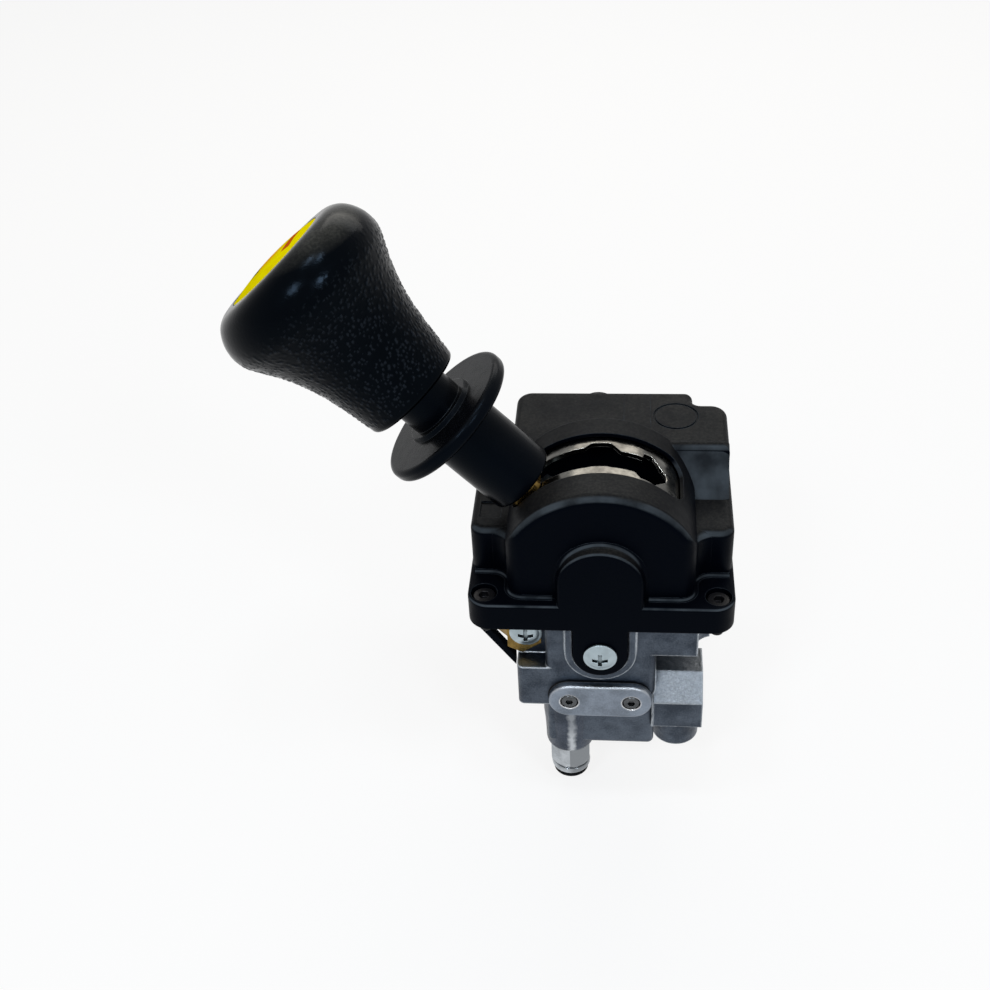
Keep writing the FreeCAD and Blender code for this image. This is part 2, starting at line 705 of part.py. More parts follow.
def cut_gate_path(body, outer):
    """The path of the lever: narrow at the left and in the middle, with a neutral notch, and wide at the right."""
    left = "-%s * sin(slot_left)" % outer
    right = "%s * sin(slot_right - 12.5)" % outer
    front = "-gate_path_front"
    back = "-gate_path_back"
    path = [
        (left, front),
        ("-4.6", front),
        ("-3", front + " + 0.3"),
        ("1.6", front + " + 0.3"),
        ("3", front),
        ("9.6", front),
        ("11.4", front + " - 2.2", "-8"),
        (right + " - 3.4", front + " - 2.8"),
        (right, front + " + 1.8", "5"),
        (right, back + " - 3.4"),
        (right + " - 4", back + " + 2", "5"),
        ("12.4", back + " + 2"),
        ("12", back + " + 0.1"),
        ("5.6", back),
        ("2.6", "-gate_notch"),
        ("-3.2", "-gate_notch"),
        ("-5.4", back + " + 1.4"),
        (left, back + " + 1"),
    ]
    pocket(body, "path", "XY", "pivot_high + 8", "pivot_high + dome_radius + 5", path)


# Lever, cam and pin


def make_pivot_pin():
    body = new_body("pivot_pin")
    half = "(hub_long / 2 + cheek_thick + 3.2)"
    slot = "(%s - 1.4)" % half
    shape = [
        ("0", "-" + half),
        ("pin_dia / 2 - 0.6", "-" + half),
        ("pin_dia / 2", "-%s + 0.6" % half),
        ("pin_dia / 2", "-" + slot),
        ("pin_dia / 2 - 0.8", "-" + slot),
        ("pin_dia / 2 - 0.8", "-%s + 0.9" % slot),
        ("pin_dia / 2", "-%s + 0.9" % slot),
        ("pin_dia / 2", "%s - 0.9" % slot),
        ("pin_dia / 2 - 0.8", "%s - 0.9" % slot),
        ("pin_dia / 2 - 0.8", slot),
        ("pin_dia / 2", slot),
        ("pin_dia / 2", half + " - 0.6"),
        ("pin_dia / 2 - 0.6", half),
        ("0", half),
    ]
    turn(body, "pin", shape)
    place(body, y="-lever_ahead", z="pivot_high", axis=(1, 0, 0), angle="90")
    return body


def make_pin_clips():
    """The two retaining clips in the pin's grooves."""
    clip = new_body("pin_clip", kept=False)
    pad(clip, "ring", "XY", "0", "0.8", ("0", "0", "pin_dia / 2 + 1.8"), ("0", "0", "pin_dia / 2 - 0.75"))
    pocket(clip, "mouth", "XY", "-1", "2", rectangle("-2.2", "0.5", "2.2", "pin_dia"))
    slot = size("hub_long / 2 + cheek_thick + 3.2 - 1.4")
    middle = (0, -size("lever_ahead"), size("pivot_high"))
    spots = [shift(middle[0], middle[1] + y, middle[2], (1, 0, 0), 90) for y in (-slot + 0.85, slot - 0.05)]
    copies("pin_clips", clip, spots)


def cam_half(side):
    """Points of one lobe. A ball end of a plunger, moving in step with the lever, rolls along it."""
    lean = size("lever_lean")
    swing = size("lever_swing")
    across = side * size("plunger_pitch") / 2
    low = -size("plunger_drop")
    stroke = size("plunger_stroke")
    inset = size("plunger_head / 2 + seat_gap / 2")
    points = []
    track = []
    for step in range(-1, 14):
        share = step / 12
        turned = math.radians(-lean + swing * share)
        drop = low + stroke * (share if side < 0 else 1 - share)
        x = across * math.cos(turned) - drop * math.sin(turned)
        z = across * math.sin(turned) + drop * math.cos(turned)
        track.append(FreeCAD.Vector(x, 0, z))
    for index in range(1, len(track) - 1):
        along = track[index + 1] - track[index - 1]
        normal = FreeCAD.Vector(-along.z, 0, along.x).normalize()
        if normal.dot(track[index]) > 0:
            normal = normal * -1
        points.append(track[index] + normal * inset)
    return points


def make_cam():
    """The zinc-plated cam: two lobes that press the plungers, a hub on the pin and a socket for the rod."""
    left = cam_half(-1)
    right = cam_half(1)
    half = size("cam_thick / 2")
    lobes = []
    for points in (left, right):
        spline = Part.BSplineCurve()
        spline.interpolate(points)
        lobes.append(spline.toShape())
    shoulder = size("hub_dia / 2 - 0.5")
    top = FreeCAD.Vector(0, 0, shoulder)
    wing = 3.0
    left_top = FreeCAD.Vector(left[0].x + wing, 0, left[0].z + wing)
    right_top = FreeCAD.Vector(right[-1].x - wing, 0, right[-1].z + wing)
    edges = [
        lobes[0],
        Part.LineSegment(left[-1], right[0]).toShape(),
        lobes[1],
        Part.LineSegment(right[-1], right_top).toShape(),
        Part.LineSegment(right_top, top).toShape(),
        Part.LineSegment(top, left_top).toShape(),
        Part.LineSegment(left_top, left[0]).toShape(),
    ]
    face = Part.Face(Part.Wire(Part.__sortEdges__(edges)))
    plate = face.extrude(FreeCAD.Vector(0, 2 * half, 0))
    plate.translate(FreeCAD.Vector(0, -half, 0))
    long = size("hub_long")
    hub = Part.makeCylinder(size("hub_dia / 2"), long, FreeCAD.Vector(0, -long / 2, 0), FreeCAD.Vector(0, 1, 0))
    beside = -size("lever_offset")
    arm = Part.makeCylinder(size("rod_dia / 2 + 3"), size("dome_radius - 9"), FreeCAD.Vector(beside, 0, 0))
    arm = arm.common(Part.makeBox(30, size("cam_thick"), 60, FreeCAD.Vector(-18, -half, 0)))
    shape = plate.fuse([hub, arm])
    bore = size("pin_dia / 2 + running_gap")
    hole = Part.makeCylinder(bore, long + 2, FreeCAD.Vector(0, -long / 2 - 1, 0), FreeCAD.Vector(0, 1, 0))
    foot = FreeCAD.Vector(beside, 0, size("pin_dia / 2 + 3"))
    socket = Part.makeCylinder(size("rod_dia / 2 + running_gap"), size("dome_radius"), foot)
    shape = shape.cut(hole).cut(socket).removeSplitter()
    made = doc.addObject("Part::Feature", "cam")
    made.Label = "cam"
    made.Shape = shape
    nodes.append(made)
    on_lever(made, "0")
    return made


def make_rod():
    """The lever rod: straight through the collar, and bent back a little under the knob."""
    foot = FreeCAD.Vector(0, 0, size("pin_dia / 2 + 3 + seat_gap"))
    elbow = FreeCAD.Vector(0, 0, size("bend_at"))
    top = bend_frame().multVec(FreeCAD.Vector(0, 0, size("knob_start + 44")))
    up = (top - elbow).normalize()
    reach = size("rod_dia * 3 * tan(knob_tilt / 2)")
    start = elbow - FreeCAD.Vector(0, 0, reach)
    end = elbow + up * reach
    normal = (FreeCAD.Vector(0, 0, -1) + up).normalize()
    middle = elbow + normal * (size("rod_dia * 3 / cos(knob_tilt / 2)") - size("rod_dia * 3"))
    path = Part.Wire([Part.LineSegment(foot, start).toShape(), Part.Arc(start, middle, end).toShape(),
                      Part.LineSegment(end, top).toShape()])
    section = Part.Wire(Part.makeCircle(size("rod_dia / 2"), foot))
    shape = Part.Wire(path.Edges).makePipeShell([section], True, True)
    ends = [edge for edge in shape.Edges if edge.BoundBox.ZMax < foot.z + 0.1 or edge.BoundBox.ZMin > top.z - 1]
    made = doc.addObject("Part::Feature", "lever_rod")
    made.Label = "lever_rod"
    made.Shape = shape.makeChamfer(0.8, ends)
    nodes.append(made)
    on_lever(made)
    return made


def make_lock_nut():
    body = new_body("rod_nut")
    low = "dome_radius - 9 + seat_gap"
    pad(body, "hexagon", "XY", low, low + " + 3.2", regular(6, "12"), ("0", "0", "rod_dia / 2 + running_gap"))
    on_lever(body)
    return body


# Collar, latch plate and knob


def make_collar():
    """The lift collar: sleeve, disc and neck, with two guides on the rod and a relief between them."""
    body = new_body("lock_collar")
    bore = "rod_dia / 2 + running_gap"
    tube = "rod_dia / 2 + 2.8"
    low = "sleeve_start"
    disc_low = "disc_at - disc_thick / 2"
    disc_high = "disc_at + disc_thick / 2"
    lip = "1.6"
    outline = [
        (tube, low),
        ("sleeve_dia / 2 - 0.8", low, "0.8"),
        ("sleeve_dia / 2", low + " + 0.8"),
        ("sleeve_dia / 2", disc_low + " - 1.5", "-1.5"),
        ("sleeve_dia / 2 + 1.5", disc_low),
        ("disc_dia / 2 - (%s)" % lip, disc_low, lip),
        ("disc_dia / 2", disc_low + " + " + lip),
        ("disc_dia / 2", disc_high + " - (%s)" % lip, lip),
        ("disc_dia / 2 - (%s)" % lip, disc_high),
        ("sleeve_dia / 2 + 0.5", disc_high),
        ("sleeve_dia / 2", disc_high + " + 1.4"),
        ("neck_dia / 2", disc_high + " + 1.4"),
        ("neck_dia / 2", "neck_end - 0.8"),
        ("neck_dia / 2 - 0.8", "neck_end"),
        (bore, "neck_end"),
        (bore, "neck_end - 8"),
        (bore + " + 2", "neck_end - 10"),
        (bore + " + 2", low + " + 18"),
        (bore, low + " + 16"),
        (bore, low + " + 5"),
        (tube, low + " + 5"),
    ]
    turn(body, "collar", outline)
    on_lever(body)
    return body


def make_latch_plate():
    """The zinc-plated latch plate at the collar's foot, which rides on the gate plate beside the path."""
    body = new_body("latch_plate")
    low = "dome_radius - slot_wall"
    hole = "rod_dia / 2 + running_gap + 0.3"
    plan = rounded_rectangle("-latch_half_wide", "-latch_half_deep", "latch_half_wide", "latch_half_deep", "3.2")
    pad(body, "plate", "XY", low, low + " + latch_thick", plan)
    pad(body, "tube", "XY", low + " + latch_thick", "sleeve_start + 5 - seat_gap",
        ("0", "0", "rod_dia / 2 + 2.8 - running_gap"))
    pocket(body, "hole", "XY", low + " - 1", "sleeve_start + 6", ("0", "0", hole))
    on_lever(body)
    return body


def coil(name, middle_radius, wire, low, high, turns):
    """A compression spring, upright on the Z axis."""
    pitch = (high - low - 2 * wire) / turns
    foot = low + wire
    helix = Part.makeHelix(pitch, high - low - 2 * wire, middle_radius)
    helix.translate(FreeCAD.Vector(0, 0, foot))
    corners = []
    for index in range(7):
        angle = math.radians(60 * index)
        corners.append(FreeCAD.Vector(middle_radius + wire / 2 * math.cos(angle), 0, foot + wire / 2 * math.sin(angle)))
    profile = Part.makePolygon(corners)
    shape = Part.Wire(helix.Edges).makePipeShell([profile], True, True)
    made = doc.addObject("Part::Feature", name)
    made.Label = name
    made.Shape = shape
    nodes.append(made)
    return made


def make_collar_spring():
    middle = size("neck_dia / 2 + rod_dia / 2") / 2 - 0.2
    made = coil("collar_spring", middle, 1.2, size("neck_end"), size("knob_start + 24 - 1.2"), 6)
    on_lever(made)


def make_knob():
    """The knob: a flared grip with a flat crown for the label and a bore that takes the collar's neck."""
    body = new_body("knob")
    low = "knob_start"
    top = "knob_start + knob_long"
    label = "label_dia / 2 + 0.3"
    bore = "neck_dia / 2 + seat_gap"
    insert = "rod_dia / 2 + 3.5"
    wide_bore = "neck_dia / 2 + 2.4"
    mouth = "sleeve_dia / 2 + 2.7"
    outline = [
        (mouth, low),
        ("knob_foot_dia / 2 - 1.5", low, "1.5"),
        ("knob_foot_dia / 2", low + " + 1.5", "-150"),
        ("knob_foot_dia / 2 + 1.6", low + " + 13.4", "-60"),
        ("knob_dia / 2 - 3.6", low + " + knob_wide_at - 9.5"),
        ("knob_dia / 2 - 1", low + " + knob_wide_at - 4.5", "11"),
        ("knob_dia / 2", low + " + knob_wide_at", "12.1"),
        ("knob_dia / 2 - 2.6", low + " + knob_wide_at + 7.5", "8.1"),
        ("label_dia / 2 + 2.2", top),
        (label, top),
        (label, top + " - label_thick - 0.1"),
        ("0", top + " - label_thick - 0.1"),
        ("0", low + " + 44 + seat_gap"),
        (insert, low + " + 44 + seat_gap"),
        (insert, low + " + 24 + seat_gap"),
        (bore, low + " + 24 + seat_gap"),
        (bore, "bend_at"),
        (wide_bore, "bend_at"),
        (wide_bore, low + " + 2.6"),
        (mouth, low + " + 2.6"),
    ]
    turn(body, "grip", outline)
    on_bend(body)
    return body


def make_knob_insert():
    body = new_body("knob_insert")
    low = "knob_start + 24 + seat_gap"
    outline = [
        ("rod_dia / 2 + running_gap", low),
        ("rod_dia / 2 + 3.5 - running_gap", low),
        ("rod_dia / 2 + 3.5 - running_gap", low + " + 19"),
        ("rod_dia / 2 + running_gap", low + " + 19"),
    ]
    turn(body, "insert", outline)
    on_bend(body)
    return body


def make_label():
    body = new_body("knob_label")
    top = "knob_start + knob_long"
    turn(body, "disc", [("0", top + " - label_thick - 0.05"), ("label_dia / 2", top + " - label_thick - 0.05"),
                        ("label_dia / 2", top + " - 0.15"), ("0", top + " - 0.05")])
    on_bend(body)
    return body


# The die-cast valve body


def make_valve_body():
    body = new_body("valve_body")
    front = "-body_front"
    back_step = front + " + 7"
    plan = [
        ("-body_left", back_step),
        ("-tab_half - 4.2", back_step),
        ("-tab_half - 4.2", front),
        ("body_right", front),
        ("body_right", "body_back"),
        ("-body_left", "body_back"),
    ]
    core = soften(rectangle("-core_half", front, "core_half", "core_back"), ["cast_round"] * 4)
    pad(body, "core", "XY", "-core_low", "-seat_gap - 2", core)
    foot = -size("core_low")
    dress(body, "Fillet", "core_foot", "cast_round - 0.4", lambda e: within(e, z=(foot, foot)))
    pad(body, "deck", "XY", "-deck_thick - seat_gap", "-seat_gap",
        soften(plan, ["cast_round", None, None, "cast_round", "cast_round", "cast_round"]))
    inside = "-dome_front + cover_wall - 0.6"
    beside = "dome_half - cover_wall + 0.9"
    shelf = "-box_front + cover_wall - 0.5"
    rim = [("-tab_half - 4.2", front), ("body_right", front), ("body_right", shelf), (beside, shelf),
           (beside, inside), ("-tab_half - 4.2", inside)]
    pad(body, "deck_rim", "XY", "-seat_gap - 1", "seat_recess - seat_gap", rim)
    left_block = rectangle("-body_left + 0.5", front, "-core_half + 4", "core_back - 3")
    pad(body, "left_block", "XY", "-left_low", "-ledge_low",
        soften(left_block, ["cast_round", None, None, "cast_round"]))
    pad(body, "left_web", "XY", "-ledge_low - 1", "-deck_thick",
        rectangle("-body_left + 0.5", back_step, "-core_half + 4", "core_back - 3"))
    pad(body, "outlet_boss", "XY", "-boss_low", "-ledge_low - 4", ("-boss_left", "-boss_ahead", "boss_dia / 2"))
    octagon = regular(8, "port_flats", "-port_ahead", "-port_low")
    pad(body, "right_port", "YZ", "core_half - 0.5", "port_right", octagon)
    pad(body, "spare_boss", "XY", "-boss_low", "-port_low", ("port_right - boss_dia / 2", "-port_ahead", "boss_dia / 2 - 0.3"))
    pad(body, "rear_port", "XZ", "core_back - 3", "core_back + 8", regular(8, "port_flats", "0", "-port_low"))
    pad(body, "silencer_boss", "XY", "-core_low - 3", "-core_low + 3", ("8", "4", "8"))
    add_tab_rim(body)
    add_cheeks(body)
    bore_body(body)
    return body


def add_tab_rim(body):
    """The raised rim round the cover's fixing tab."""
    low = "-tab_screw_low"
    inner = "(tab_half + seat_gap)"
    outer = "(tab_half + 2.6)"
    rim = [
        ("-" + outer, low, outer),
        ("0", low + " - " + outer, outer),
        (outer, low),
        (outer, "seat_recess - seat_gap"),
        (inner, "seat_recess - seat_gap"),
        (inner, low, "-" + inner),
        ("0", low + " - " + inner, "-" + inner),
        ("-" + inner, low),
        ("-" + inner, "seat_recess - seat_gap"),
        ("-" + outer, "seat_recess - seat_gap"),
    ]
    pad(body, "tab_rim", "XZ", "-body_front - tab_thick + 0.8", "-body_front + 2", rim)
    wall = [("-" + outer, low, outer), ("0", low + " - " + outer, outer), (outer, low), (outer, "-seat_gap - 1"),
            ("-" + outer, "-seat_gap - 1")]
    pad(body, "tab_seat", "XZ", "-body_front", "-body_front + 3", wall)


def add_cheeks(body):
    """The two ears that carry the pivot pin over the deck."""
    foot = "cheek_radius + 5"
    ear = [
        ("-(%s)" % foot, "-seat_gap - 1"),
        (foot, "-seat_gap - 1"),
        (foot, "-seat_gap + 1"),
        ("cheek_radius", "pivot_high", "cheek_radius"),
        ("0", "pivot_high + cheek_radius", "cheek_radius"),
        ("-cheek_radius", "pivot_high"),
        ("-(%s)" % foot, "-seat_gap + 1"),
    ]
    gap = "(hub_long / 2 + seat_gap)"
    pad(body, "front_ear", "XZ", "-lever_ahead - %s - cheek_thick" % gap, "-lever_ahead - %s" % gap, ear)
    pad(body, "rear_ear", "XZ", "-lever_ahead + %s" % gap, "-lever_ahead + %s + cheek_thick" % gap, ear)
    pocket(body, "pin_bore", "XZ", "-lever_ahead - 20", "-lever_ahead + 20",
           ("0", "pivot_high", "pin_dia / 2 + running_gap"))


def plunger_spots(radius):
    return [("%splunger_pitch / 2" % s, "-lever_ahead", radius) for s in ("-", "")]


def bore_body(body):
    """Valve chambers, ports and screw holes."""
    relief = ("pitch_across / 2", "-pitch_deep / 2", "head_recess / 2 + 2.2")
    pocket(body, "screw_relief", "XY", "-deck_thick - 1", "seat_recess + 1", relief)
    pocket(body, "bush_bores", "XY", "-10.3", "1", *plunger_spots("5"))
    pocket(body, "stem_bores", "XY", "-22", "1", *plunger_spots("plunger_stem / 2 + 0.6"))
    pocket(body, "chambers", "XY", "-core_low - 1", "-20", *plunger_spots("chamber_dia / 2"))
    pocket(body, "right_thread", "YZ", "port_right - port_deep", "port_right + 1",
           ("-port_ahead", "-port_low", "port_thread / 2"))
    pocket(body, "right_drill", "YZ", "core_half - 9", "port_right - port_deep + 1", ("-port_ahead", "-port_low", "3"))
    pocket(body, "right_cross", "XZ", "-port_ahead - 3", "-lever_ahead", ("core_half - 6", "-port_low", "2.5"))
    pocket(body, "rear_thread", "XZ", "core_back - 3", "core_back + 9", ("0", "-port_low", "4.5"))
    pocket(body, "rear_drill", "XZ", "-lever_ahead + 8", "core_back", ("0", "-port_low", "2.5"))
    pocket(body, "outlet_thread", "XY", "-boss_low - 1", "-boss_low + 9", ("-boss_left", "-boss_ahead", "4.5"))
    pocket(body, "outlet_drill", "XY", "-boss_low + 8", "-port_low", ("-boss_left", "-boss_ahead", "2.5"))
    pocket(body, "silencer_thread", "XY", "-core_low - 4", "-core_low + 6", ("8", "4", "4.5"))
    pocket(body, "tab_screw_hole", "XZ", "-body_front - 1", "-body_front + 9",
           ("0", "-tab_screw_low", "cover_screw / 2 + running_gap"))
    pocket(body, "bracket_screw_hole", "XZ", "-body_front + 6", "-body_front + 16",
           ("-body_left + 3.4", "-8.4", "cover_screw / 2 + running_gap"))
    holes = [("%splate_pitch / 2" % s, "-plate_low", "1.5") for s in ("-", "")]
    pocket(body, "plate_screw_holes", "XZ", "-body_front", "-body_front + 9", *holes)
    outer = "(dome_radius - slot_wall - seat_gap)"
    holes = [("%s(%s - gate_foot + 3.6)" % (s, outer), "-lever_ahead", "1.65") for s in ("", "-")]
    pocket(body, "gate_screw_holes", "XY", "-8", "1", *holes)


# Valve parts inside the body


def make_plunger(side):
    """A plunger: ball end under the cam, stem through its bush and seal, and the poppet's seat below."""
    name = "plunger_left" if side < 0 else "plunger_right"
    body = new_body(name)
    ball = "(plunger_head / 2)"
    stem = "(plunger_stem / 2)"
    waist = "-sqrt(%s^2 - %s^2)" % (ball, stem)
    foot = "-32.2"
    outline = [
        ("0", foot),
        (stem, foot),
        (stem, waist, ball),
        (ball, "0", ball),
        ("0", ball),
    ]
    turn(body, "stem", outline)
    sign = "-" if side < 0 else ""
    lift = "0" if side < 0 else "plunger_stroke"
    place(body, x=sign + "plunger_pitch / 2", y="-lever_ahead", z="pivot_high - plunger_drop + " + lift)
    return body


def make_poppet(side):
    """A poppet with its rubber seat ring, fixed on a plunger's foot."""
    name = "poppet_left" if side < 0 else "poppet_right"
    body = new_body(name)
    stem = "(plunger_stem / 2 + running_gap)"
    outline = [
        ("0", "-33.7"),
        ("3.4", "-33.7"),
        ("3.4", "-31.7"),
        ("chamber_dia / 2 - 0.6", "-31.7"),
        ("chamber_dia / 2 - 0.6", "-28.2"),
        ("chamber_dia / 2 - 1.6", "-27.2"),
        (stem, "-27.2"),
        (stem, "-32.25"),
        ("0", "-32.25"),
    ]
    turn(body, "poppet", outline)
    sign = "-" if side < 0 else ""
    lift = "0" if side < 0 else "plunger_stroke"
    place(body, x=sign + "plunger_pitch / 2", y="-lever_ahead", z="pivot_high - plunger_drop + " + lift)
    return body


def make_return_spring(side):
    """The spring between a poppet and its chamber plug."""
    name = "return_spring_left" if side < 0 else "return_spring_right"
    low = -size("core_low") + 7 + size("seat_gap")
    lift = 0 if side < 0 else size("plunger_stroke")
    high = size("pivot_high - plunger_drop") - 31.7 + lift - size("seat_gap")
    made = coil(name, 4.3, 0.9, low, high, 3.5)
    made.Placement = shift(side * size("plunger_pitch / 2"), -size("lever_ahead"), 0)
    return made


def plunger_places(z):
    return [shift(side * size("plunger_pitch / 2"), -size("lever_ahead"), z) for side in (-1, 1)]


def make_guides():
    """Bushes, stem seals, chamber plugs and plug seals: two of each."""
    bush = new_body("bush", kept=False)
    turn(bush, "bush_form", [
        ("plunger_stem / 2 + running_gap", "-10.3 + seat_gap"),
        ("5 - running_gap", "-10.3 + seat_gap"),
        ("5 - running_gap", "-1.8"),
        ("4.6", "-1.4"),
        ("plunger_stem / 2 + running_gap", "-1.4"),
    ])
    copies("guide_bushes", bush, plunger_places(0))
    seal = new_body("seal", kept=False)
    turn(seal, "seal_form", [
        ("plunger_stem / 2 + running_gap", "-13.2"),
        ("plunger_stem / 2 + 0.55", "-13.2"),
        ("plunger_stem / 2 + 0.55", "-11.8"),
        ("plunger_stem / 2 + running_gap", "-11.8"),
    ])
    copies("stem_seals", seal, plunger_places(0))
    plug = new_body("plug", kept=False)
    low = "-core_low"
    turn(plug, "plug_form", [
        ("0", low + " + 0.4"),
        ("chamber_dia / 2 - 0.8", low + " + 0.4"),
        ("chamber_dia / 2 - running_gap", low + " + 1.2"),
        ("chamber_dia / 2 - running_gap", low + " + 4"),
        ("chamber_dia / 2 - 1.2", low + " + 4"),
        ("chamber_dia / 2 - 1.2", low + " + 5.8"),
        ("chamber_dia / 2 - running_gap", low + " + 5.8"),
        ("chamber_dia / 2 - running_gap", low + " + 7"),
        ("0", low + " + 7"),
    ])
    pocket(plug, "key", "XY", low + " - 1", low + " + 3", regular(6, "5"))
    copies("chamber_plugs", plug, plunger_places(0))
    ring = new_body("ring", kept=False)
    turn(ring, "ring_form", [
        ("chamber_dia / 2 - 1.15", low + " + 4.1"),
        ("chamber_dia / 2 - running_gap", low + " + 4.1"),
        ("chamber_dia / 2 - running_gap", low + " + 5.7"),
        ("chamber_dia / 2 - 1.15", low + " + 5.7"),
    ])
    copies("plug_seals", ring, plunger_places(0))


# Screws, end plate, bracket, fittings and silencer


def cross_recess(body, top):
    """The cross recess in a screw's head, which points up."""
    arms = [rectangle("-0.65", "-2.4", "0.65", "2.4")]
    pocket(body, "recess_long", "XY", top + " - 1.5", top + " + 1", *arms)
    pocket(body, "recess_wide", "XY", top + " - 1.5", top + " + 1", rectangle("-2.4", "-0.65", "2.4", "0.65"))


def make_cover_screws():
    """The two washer-head screws: one through the cover's tab and one through the side bracket."""
    screw = new_body("cover_screw_form", kept=False)
    rim = "cover_screw_head / 2"
    turn(screw, "screw", [
        ("0", "-9"),
        ("cover_screw / 2", "-9"),
        ("cover_screw / 2", "0"),
        (rim + " - 0.3", "0"),
        (rim, "0.3"),
        (rim, "0.9"),
        (rim + " - 0.9", "1.2", "9"),
        ("0", "2.7"),
    ])
    cross_recess(screw, "2.7")
    front = -size("flange_depth / 2")
    spots = [
        shift(0, front, -size("tab_screw_low"), (1, 0, 0), 90),
        shift(-size("body_left") + 3.4, -size("body_front") + 5.4, -8.4, (1, 0, 0), 90),
    ]
    copies("cover_screws", screw, spots)


def make_mount_screws():
    """The four socket-head screws in the flange's ears."""
    screw = new_body("mount_screw_form", kept=False)
    head = "mount_screw * 0.875"
    seat = "flange_thick - recess_deep"
    turn(screw, "screw_turned", [
        ("0", "-mount_reach"),
        ("mount_screw / 2 - 0.6", "-mount_reach"),
        ("mount_screw / 2", "-mount_reach + 0.6"),
        ("mount_screw / 2", "-seat_gap"),
        ("mount_screw / 2 - 0.2", "-seat_gap"),
        ("mount_screw / 2 - 0.2", seat),
        (head, seat),
        (head, seat + " + mount_screw - 0.4"),
        (head + " - 0.4", seat + " + mount_screw"),
        ("0", seat + " + mount_screw"),
    ])
    pocket(screw, "socket", "XY", seat + " + mount_screw / 2", seat + " + mount_screw + 1", regular(6, "3"))
    spots = [shift(i * size("pitch_across / 2"), j * size("pitch_deep / 2"), 0) for i in (-1, 1) for j in (-1, 1)]
    copies("mounting_screws", screw, spots)


def make_gate_screws():
    screw = new_body("gate_screw_form", kept=False)
    low = "gate_thick"
    turn(screw, "gate_screw_turned", [
        ("0", "-7"),
        ("1.6", "-7"),
        ("1.6", low),
        ("3", low),
        ("3", low + " + 1.2"),
        ("2.4", low + " + 1.8"),
        ("0", low + " + 1.8"),
    ])
    reach = size("dome_radius - slot_wall - seat_gap - gate_foot + 3.6")
    spots = [shift(side * reach, -size("lever_ahead"), 0) for side in (-1, 1)]
    copies("gate_screws", screw, spots)


def obround(radius, pitch, low):
    """A level obround outline about the middle, in X and Z."""
    half = "(%s) / 2" % pitch
    return [
        ("-" + half, "-(%s) - (%s)" % (low, radius)),
        (half, "-(%s) - (%s)" % (low, radius), radius),
        (half + " + " + radius, "-(%s)" % low, radius),
        (half, "-(%s) + (%s)" % (low, radius)),
        ("-" + half, "-(%s) + (%s)" % (low, radius), radius),
        ("-(%s) - %s" % (half, radius), "-(%s)" % low, radius),
    ]


def make_end_plate():
    """The obround end plate over the cross drillings, its gasket and its two screws."""
    face = "-body_front"
    gasket = new_body("end_plate_gasket")
    holes = [("%splate_pitch / 2" % s, "-plate_low", "2") for s in ("-", "")]
    pad(gasket, "sheet", "XZ", face + " - 0.5", face, obround("plate_radius - 0.3", "plate_pitch", "plate_low"), *holes)
    body = new_body("end_plate")
    low = face + " - 0.5 - plate_thick"
    pad(body, "plate_form", "XZ", low, face + " - 0.5", obround("plate_radius", "plate_pitch", "plate_low"))
    front = size(low)
    dress(body, "Fillet", "plate_edge", "0.8", lambda e: within(e, y=(front, front)))
    pocket(body, "plate_holes", "XZ", low + " - 1", face, *[(x, y, "1.7") for x, y, r in holes])
    pocket(body, "plate_recesses", "XZ", low + " - 1", low + " + 1.6", *[(x, y, "2.9") for x, y, r in holes])
    screw = new_body("plate_screw_form", kept=False)
    turn(screw, "plate_screw_turned", [
        ("0", "-7"),
        ("1.45", "-7"),
        ("1.45", "0"),
        ("2.6", "0"),
        ("2.6", "1.3"),
        ("2.2", "1.7"),
        ("0", "1.7"),
    ])
    pocket(screw, "plate_screw_key", "XY", "0.9", "2", regular(6, "2.2"))
    seat = size(low) + 1.6
    spots = [shift(side * size("plate_pitch / 2"), seat, -size("plate_low"), (1, 0, 0), 90) for side in (-1, 1)]
    copies("end_plate_screws", screw, spots)


def make_side_bracket():
    """The zinc-plated strap that ties the valve body to the cover's left side, under the sloping skirt."""
    body = new_body("side_bracket")
    front = "-body_front + 5.4"
    back = "-body_front + 7 - running_gap"
    left = "-body_left - 2.5"
    plate = [
        (left, "-seat_gap"),
        (left, "-15.2"),
        ("-body_left + 2", "-17.6"),
        ("-body_left + 8", "-13.4"),
        ("-body_left + 8", "-seat_gap"),
    ]
    pad(body, "strap", "XZ", front, back, plate)
    pocket(body, "strap_hole", "XZ", "-body_front + 3", "-body_front + 8",
           ("-body_left + 3.4", "-8.4", "cover_screw / 2 + running_gap"))
    wing = [
        (left, front),
        (left + " + 0.65", back),
        (left + " - 3.9", back + " + 4.55"),
        (left + " - 5", front + " + 5"),
    ]
    pad(body, "wing", "XY", "-10.8", "-seat_gap", wing)
    return body


